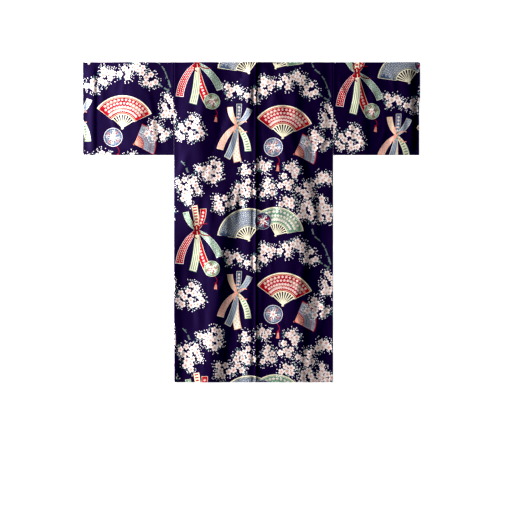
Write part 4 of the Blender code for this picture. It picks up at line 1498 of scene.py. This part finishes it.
def floor_material():
    """A plain pale surface with a faint unevenness."""
    material, nodes, links, shader = make_material("pale_floor")
    noise = object_noise(nodes, links, 1.3)
    links.new(spread(nodes, links, noise, 0.85, 0.95), shader.inputs["Roughness"])
    set_inputs(shader, {
        "Base Color": (0.93, 0.93, 0.93, 1.0),
        "Specular IOR Level": 0.1,
        "Emission Color": (1.0, 1.0, 1.0, 1.0),
        "Emission Strength": FLOOR_GLOW,
    })
    return material


# Hem stitches

STITCH_PITCH = 0.0042
STITCH_LENGTH = 0.0030
STITCH_RADIUS = 0.00022
STITCH_RISE = 0.35  # of the radius, above the cloth's face
STITCH_SINK = -0.8  # of the radius, on the underside
STITCH_FROM_END = 0.004
CUFF_STITCH_END = 0.012
SHOULDER_STITCH_GAP = (0.006, 0.010)  # below and above the shoulder line, where a cuff turns


def stitch_tree(material):
    """Lays one stitch at every pitch along the lines of a mesh. Gives the tree and the
    identifiers of its sockets by name."""
    tree = bpy.data.node_groups.new("hem_stitching", "GeometryNodeTree")
    sockets = {}
    for name, way, kind in (("Lines", "INPUT", "Geometry"), ("Pitch", "INPUT", "Float"),
                            ("Length", "INPUT", "Float"), ("Seed", "INPUT", "Int"),
                            ("Stitches", "OUTPUT", "Geometry")):
        socket = tree.interface.new_socket(name, in_out=way, socket_type="NodeSocket" + kind)
        sockets[name] = socket.identifier
    nodes = tree.nodes
    given = nodes.new("NodeGroupInput")
    made = nodes.new("NodeGroupOutput")
    curves = nodes.new("GeometryNodeMeshToCurve")
    spaced = add_node(nodes, "GeometryNodeResampleCurve", mode="LENGTH")
    thread = add_node(nodes, "GeometryNodeMeshCylinder",
                      {"Vertices": 8, "Side Segments": 2, "Radius": STITCH_RADIUS})
    tangent = nodes.new("GeometryNodeInputTangent")
    align = nodes.new("FunctionNodeAlignRotationToVector")
    vary = add_node(nodes, "FunctionNodeRandomValue", {"Min": 0.85, "Max": 1.08},
                    data_type="FLOAT")
    size = add_node(nodes, "ShaderNodeCombineXYZ", {"X": 1.0, "Y": 1.0})
    lay = nodes.new("GeometryNodeInstanceOnPoints")
    solid = nodes.new("GeometryNodeRealizeInstances")
    dress = add_node(nodes, "GeometryNodeSetMaterial", {"Material": material})
    wire(
        tree.links,
        (given, "Lines", curves, "Mesh"),
        (curves, "Curve", spaced, "Curve"),
        (given, "Pitch", spaced, "Length"),
        (given, "Length", thread, "Depth"),
        (given, "Seed", vary, "Seed"),
        (spaced, "Curve", lay, "Points"),
        (thread, "Mesh", lay, "Instance"),
        (tangent, "Tangent", align, "Vector"),
        (align, "Rotation", lay, "Rotation"),
        (vary, "Value", size, "Z"),
        (size, "Vector", lay, "Scale"),
        (lay, "Instances", solid, "Geometry"),
        (solid, "Geometry", dress, "Geometry"),
        (dress, "Geometry", made, "Stitches"),
    )
    return tree, sockets


def stitch_lines(panel):
    """Where a panel's hems are stitched down, as flat lines (start, end)."""
    kind, _, side = panel.name.partition("_")
    lower_hem, front_hem = HEM_Y + BOTTOM_HEM, FRONT_END_V - BOTTOM_HEM
    if kind == "body":
        low = min(x for x, _ in panel.outline) + STITCH_FROM_END
        high = max(x for x, _ in panel.outline) - STITCH_FROM_END
        return [((low, v), (high, v)) for v in (lower_hem, front_hem)]
    if kind == "sleeve":
        cuff = CUFF_X[side] + INWARD[side] * CUFF_HEM
        before, after = SHOULDER_Y - SHOULDER_STITCH_GAP[0], SHOULDER_Y + SHOULDER_STITCH_GAP[1]
        return [((cuff, SLEEVE_BOTTOM_Y + CUFF_STITCH_END), (cuff, before)),
                ((cuff, after), (cuff, SLEEVE_END_V - CUFF_STITCH_END))]
    if kind == "overlap":
        edge = CENTRE_X + INWARD[side] * (OVERLAP_WIDTH - FRONT_HEM)
        near = CENTRE_X + INWARD[side] * STITCH_FROM_END
        top = SHOULDER_Y + COLLAR_END_DROP
        return [((edge, top), (edge, front_hem)), ((near, front_hem), (edge, front_hem))]
    return []


def make_stitches(panel, tree, sockets, seed):
    """A panel's hem stitches as one plain mesh."""
    points = []
    edges = []
    for start, end in stitch_lines(panel):
        flat = np.array(even_points(start, end, STITCH_FROM_END) + [np.array(end)])
        middle, normal = surface_at(panel, flat)
        sink = np.where(normal[:, 2:] < 0.0, STITCH_SINK, STITCH_RISE) * STITCH_RADIUS
        first = len(points)
        points += (middle + normal * (panel.wall / 2 + sink)).tolist()
        edges += [(i, i + 1) for i in range(first, len(points) - 1)]
    mesh = bpy.data.meshes.new("hem_lines")
    mesh.from_pydata(points, edges, [])
    lines = add_object("hem_lines", mesh)
    sewing = lines.modifiers.new("Sewing", "NODES")
    sewing.node_group = tree
    for name, value in (("Pitch", STITCH_PITCH), ("Length", STITCH_LENGTH), ("Seed", seed)):
        sewing[sockets[name]] = value
    depsgraph = bpy.context.evaluated_depsgraph_get()
    sewn = bpy.data.meshes.new_from_object(lines.evaluated_get(depsgraph))
    bpy.data.objects.remove(lines)
    sewn.name = panel.name + "_hem_stitches"
    return add_object(sewn.name, sewn)


# The robe

def sew_robe():
    """Every panel with its cloth and its hem stitches."""
    printed = cotton("printed_cotton", 1.0, INDIGO)
    wrong_side = cotton("wrong_side", 0.62, shade(70, 62, 104))
    tree, sockets = stitch_tree(thread_material())
    shapes = draw_print()
    for seed, panel in enumerate(make_panels()):
        piece = cut_panel(panel, shapes)
        piece.data.materials.append(printed)
        piece.data.materials.append(wrong_side if panel.name != "collar" else printed)
        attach(piece, "root")
        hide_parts(panel.name)
        if stitch_lines(panel):
            stitches = make_stitches(panel, tree, sockets, seed)
            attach(stitches, "root")
        low, high = extent(panel)
        area = sum(ax * by - bx * ay for (ax, ay), (bx, by) in edges_of(panel.outline)) / 2


# Floor, light and camera

PHOTO_SPAN = 2.1675  # metres across the photo, at the robe
PHOTO_CENTRE = (0.0149, -0.1400)
LENS = 85.0
SENSOR = 36.0
FLOOR_SIZE = 12.0
FLOOR_Z = -0.0003
FLOOR_GLOW = 0.75  # the floor is a lit white table, so the robe casts hardly any shadow
KEY_PLACE = (-3.4, 0.8, 0.82)  # low and from the left, so the folds show
KEY_SIZE = 0.5
KEY_POWER = 470.0
KEY_COLOUR = (1.0, 0.98, 0.97)
FILL_COLOUR = (0.90, 0.93, 1.0, 1.0)
FILL_STRENGTH = 0.13
EXPOSURE = 0.30
CONTRAST_GAMMA = 0.80
BLACK_LEVEL = 0.008


def make_floor():
    mesh = bpy.data.meshes.new("floor")
    corners = [(x * FLOOR_SIZE, y * FLOOR_SIZE, FLOOR_Z)
               for x, y in ((-1, -1), (1, -1), (1, 1), (-1, 1))]
    mesh.from_pydata(corners, [], [(0, 1, 2, 3)])
    mesh.materials.append(floor_material())
    add_object("floor", mesh)


def light_studio():
    """One soft lamp aimed at the middle of the robe, and a weak fill from all round."""
    lamp = bpy.data.lights.new("key_light", "AREA")
    lamp.shape = "SQUARE"
    lamp.size = KEY_SIZE
    lamp.energy = KEY_POWER
    lamp.color = KEY_COLOUR
    light = add_object("key_light", lamp)
    light.location = KEY_PLACE
    light.rotation_euler = (-Vector(KEY_PLACE)).to_track_quat("-Z", "Y").to_euler()
    world = bpy.data.worlds.new("studio")
    world.use_nodes = True
    set_inputs(world.node_tree.nodes["Background"],
               {"Color": FILL_COLOUR, "Strength": FILL_STRENGTH})
    bpy.context.scene.world = world
    view = bpy.context.scene.view_settings
    view.view_transform = "Standard"
    view.exposure = EXPOSURE
    view.gamma = CONTRAST_GAMMA
    view.use_curve_mapping = True
    view.curve_mapping.black_level = (BLACK_LEVEL, BLACK_LEVEL, BLACK_LEVEL)
    view.curve_mapping.update()


def add_camera():
    data = bpy.data.cameras.new("camera")
    data.lens = LENS
    data.sensor_width = SENSOR
    camera = add_object("camera", data)
    camera.location = (*PHOTO_CENTRE, PHOTO_SPAN * LENS / SENSOR)
    bpy.context.scene.camera = camera


make_floor()
light_studio()
add_camera()
sew_robe()
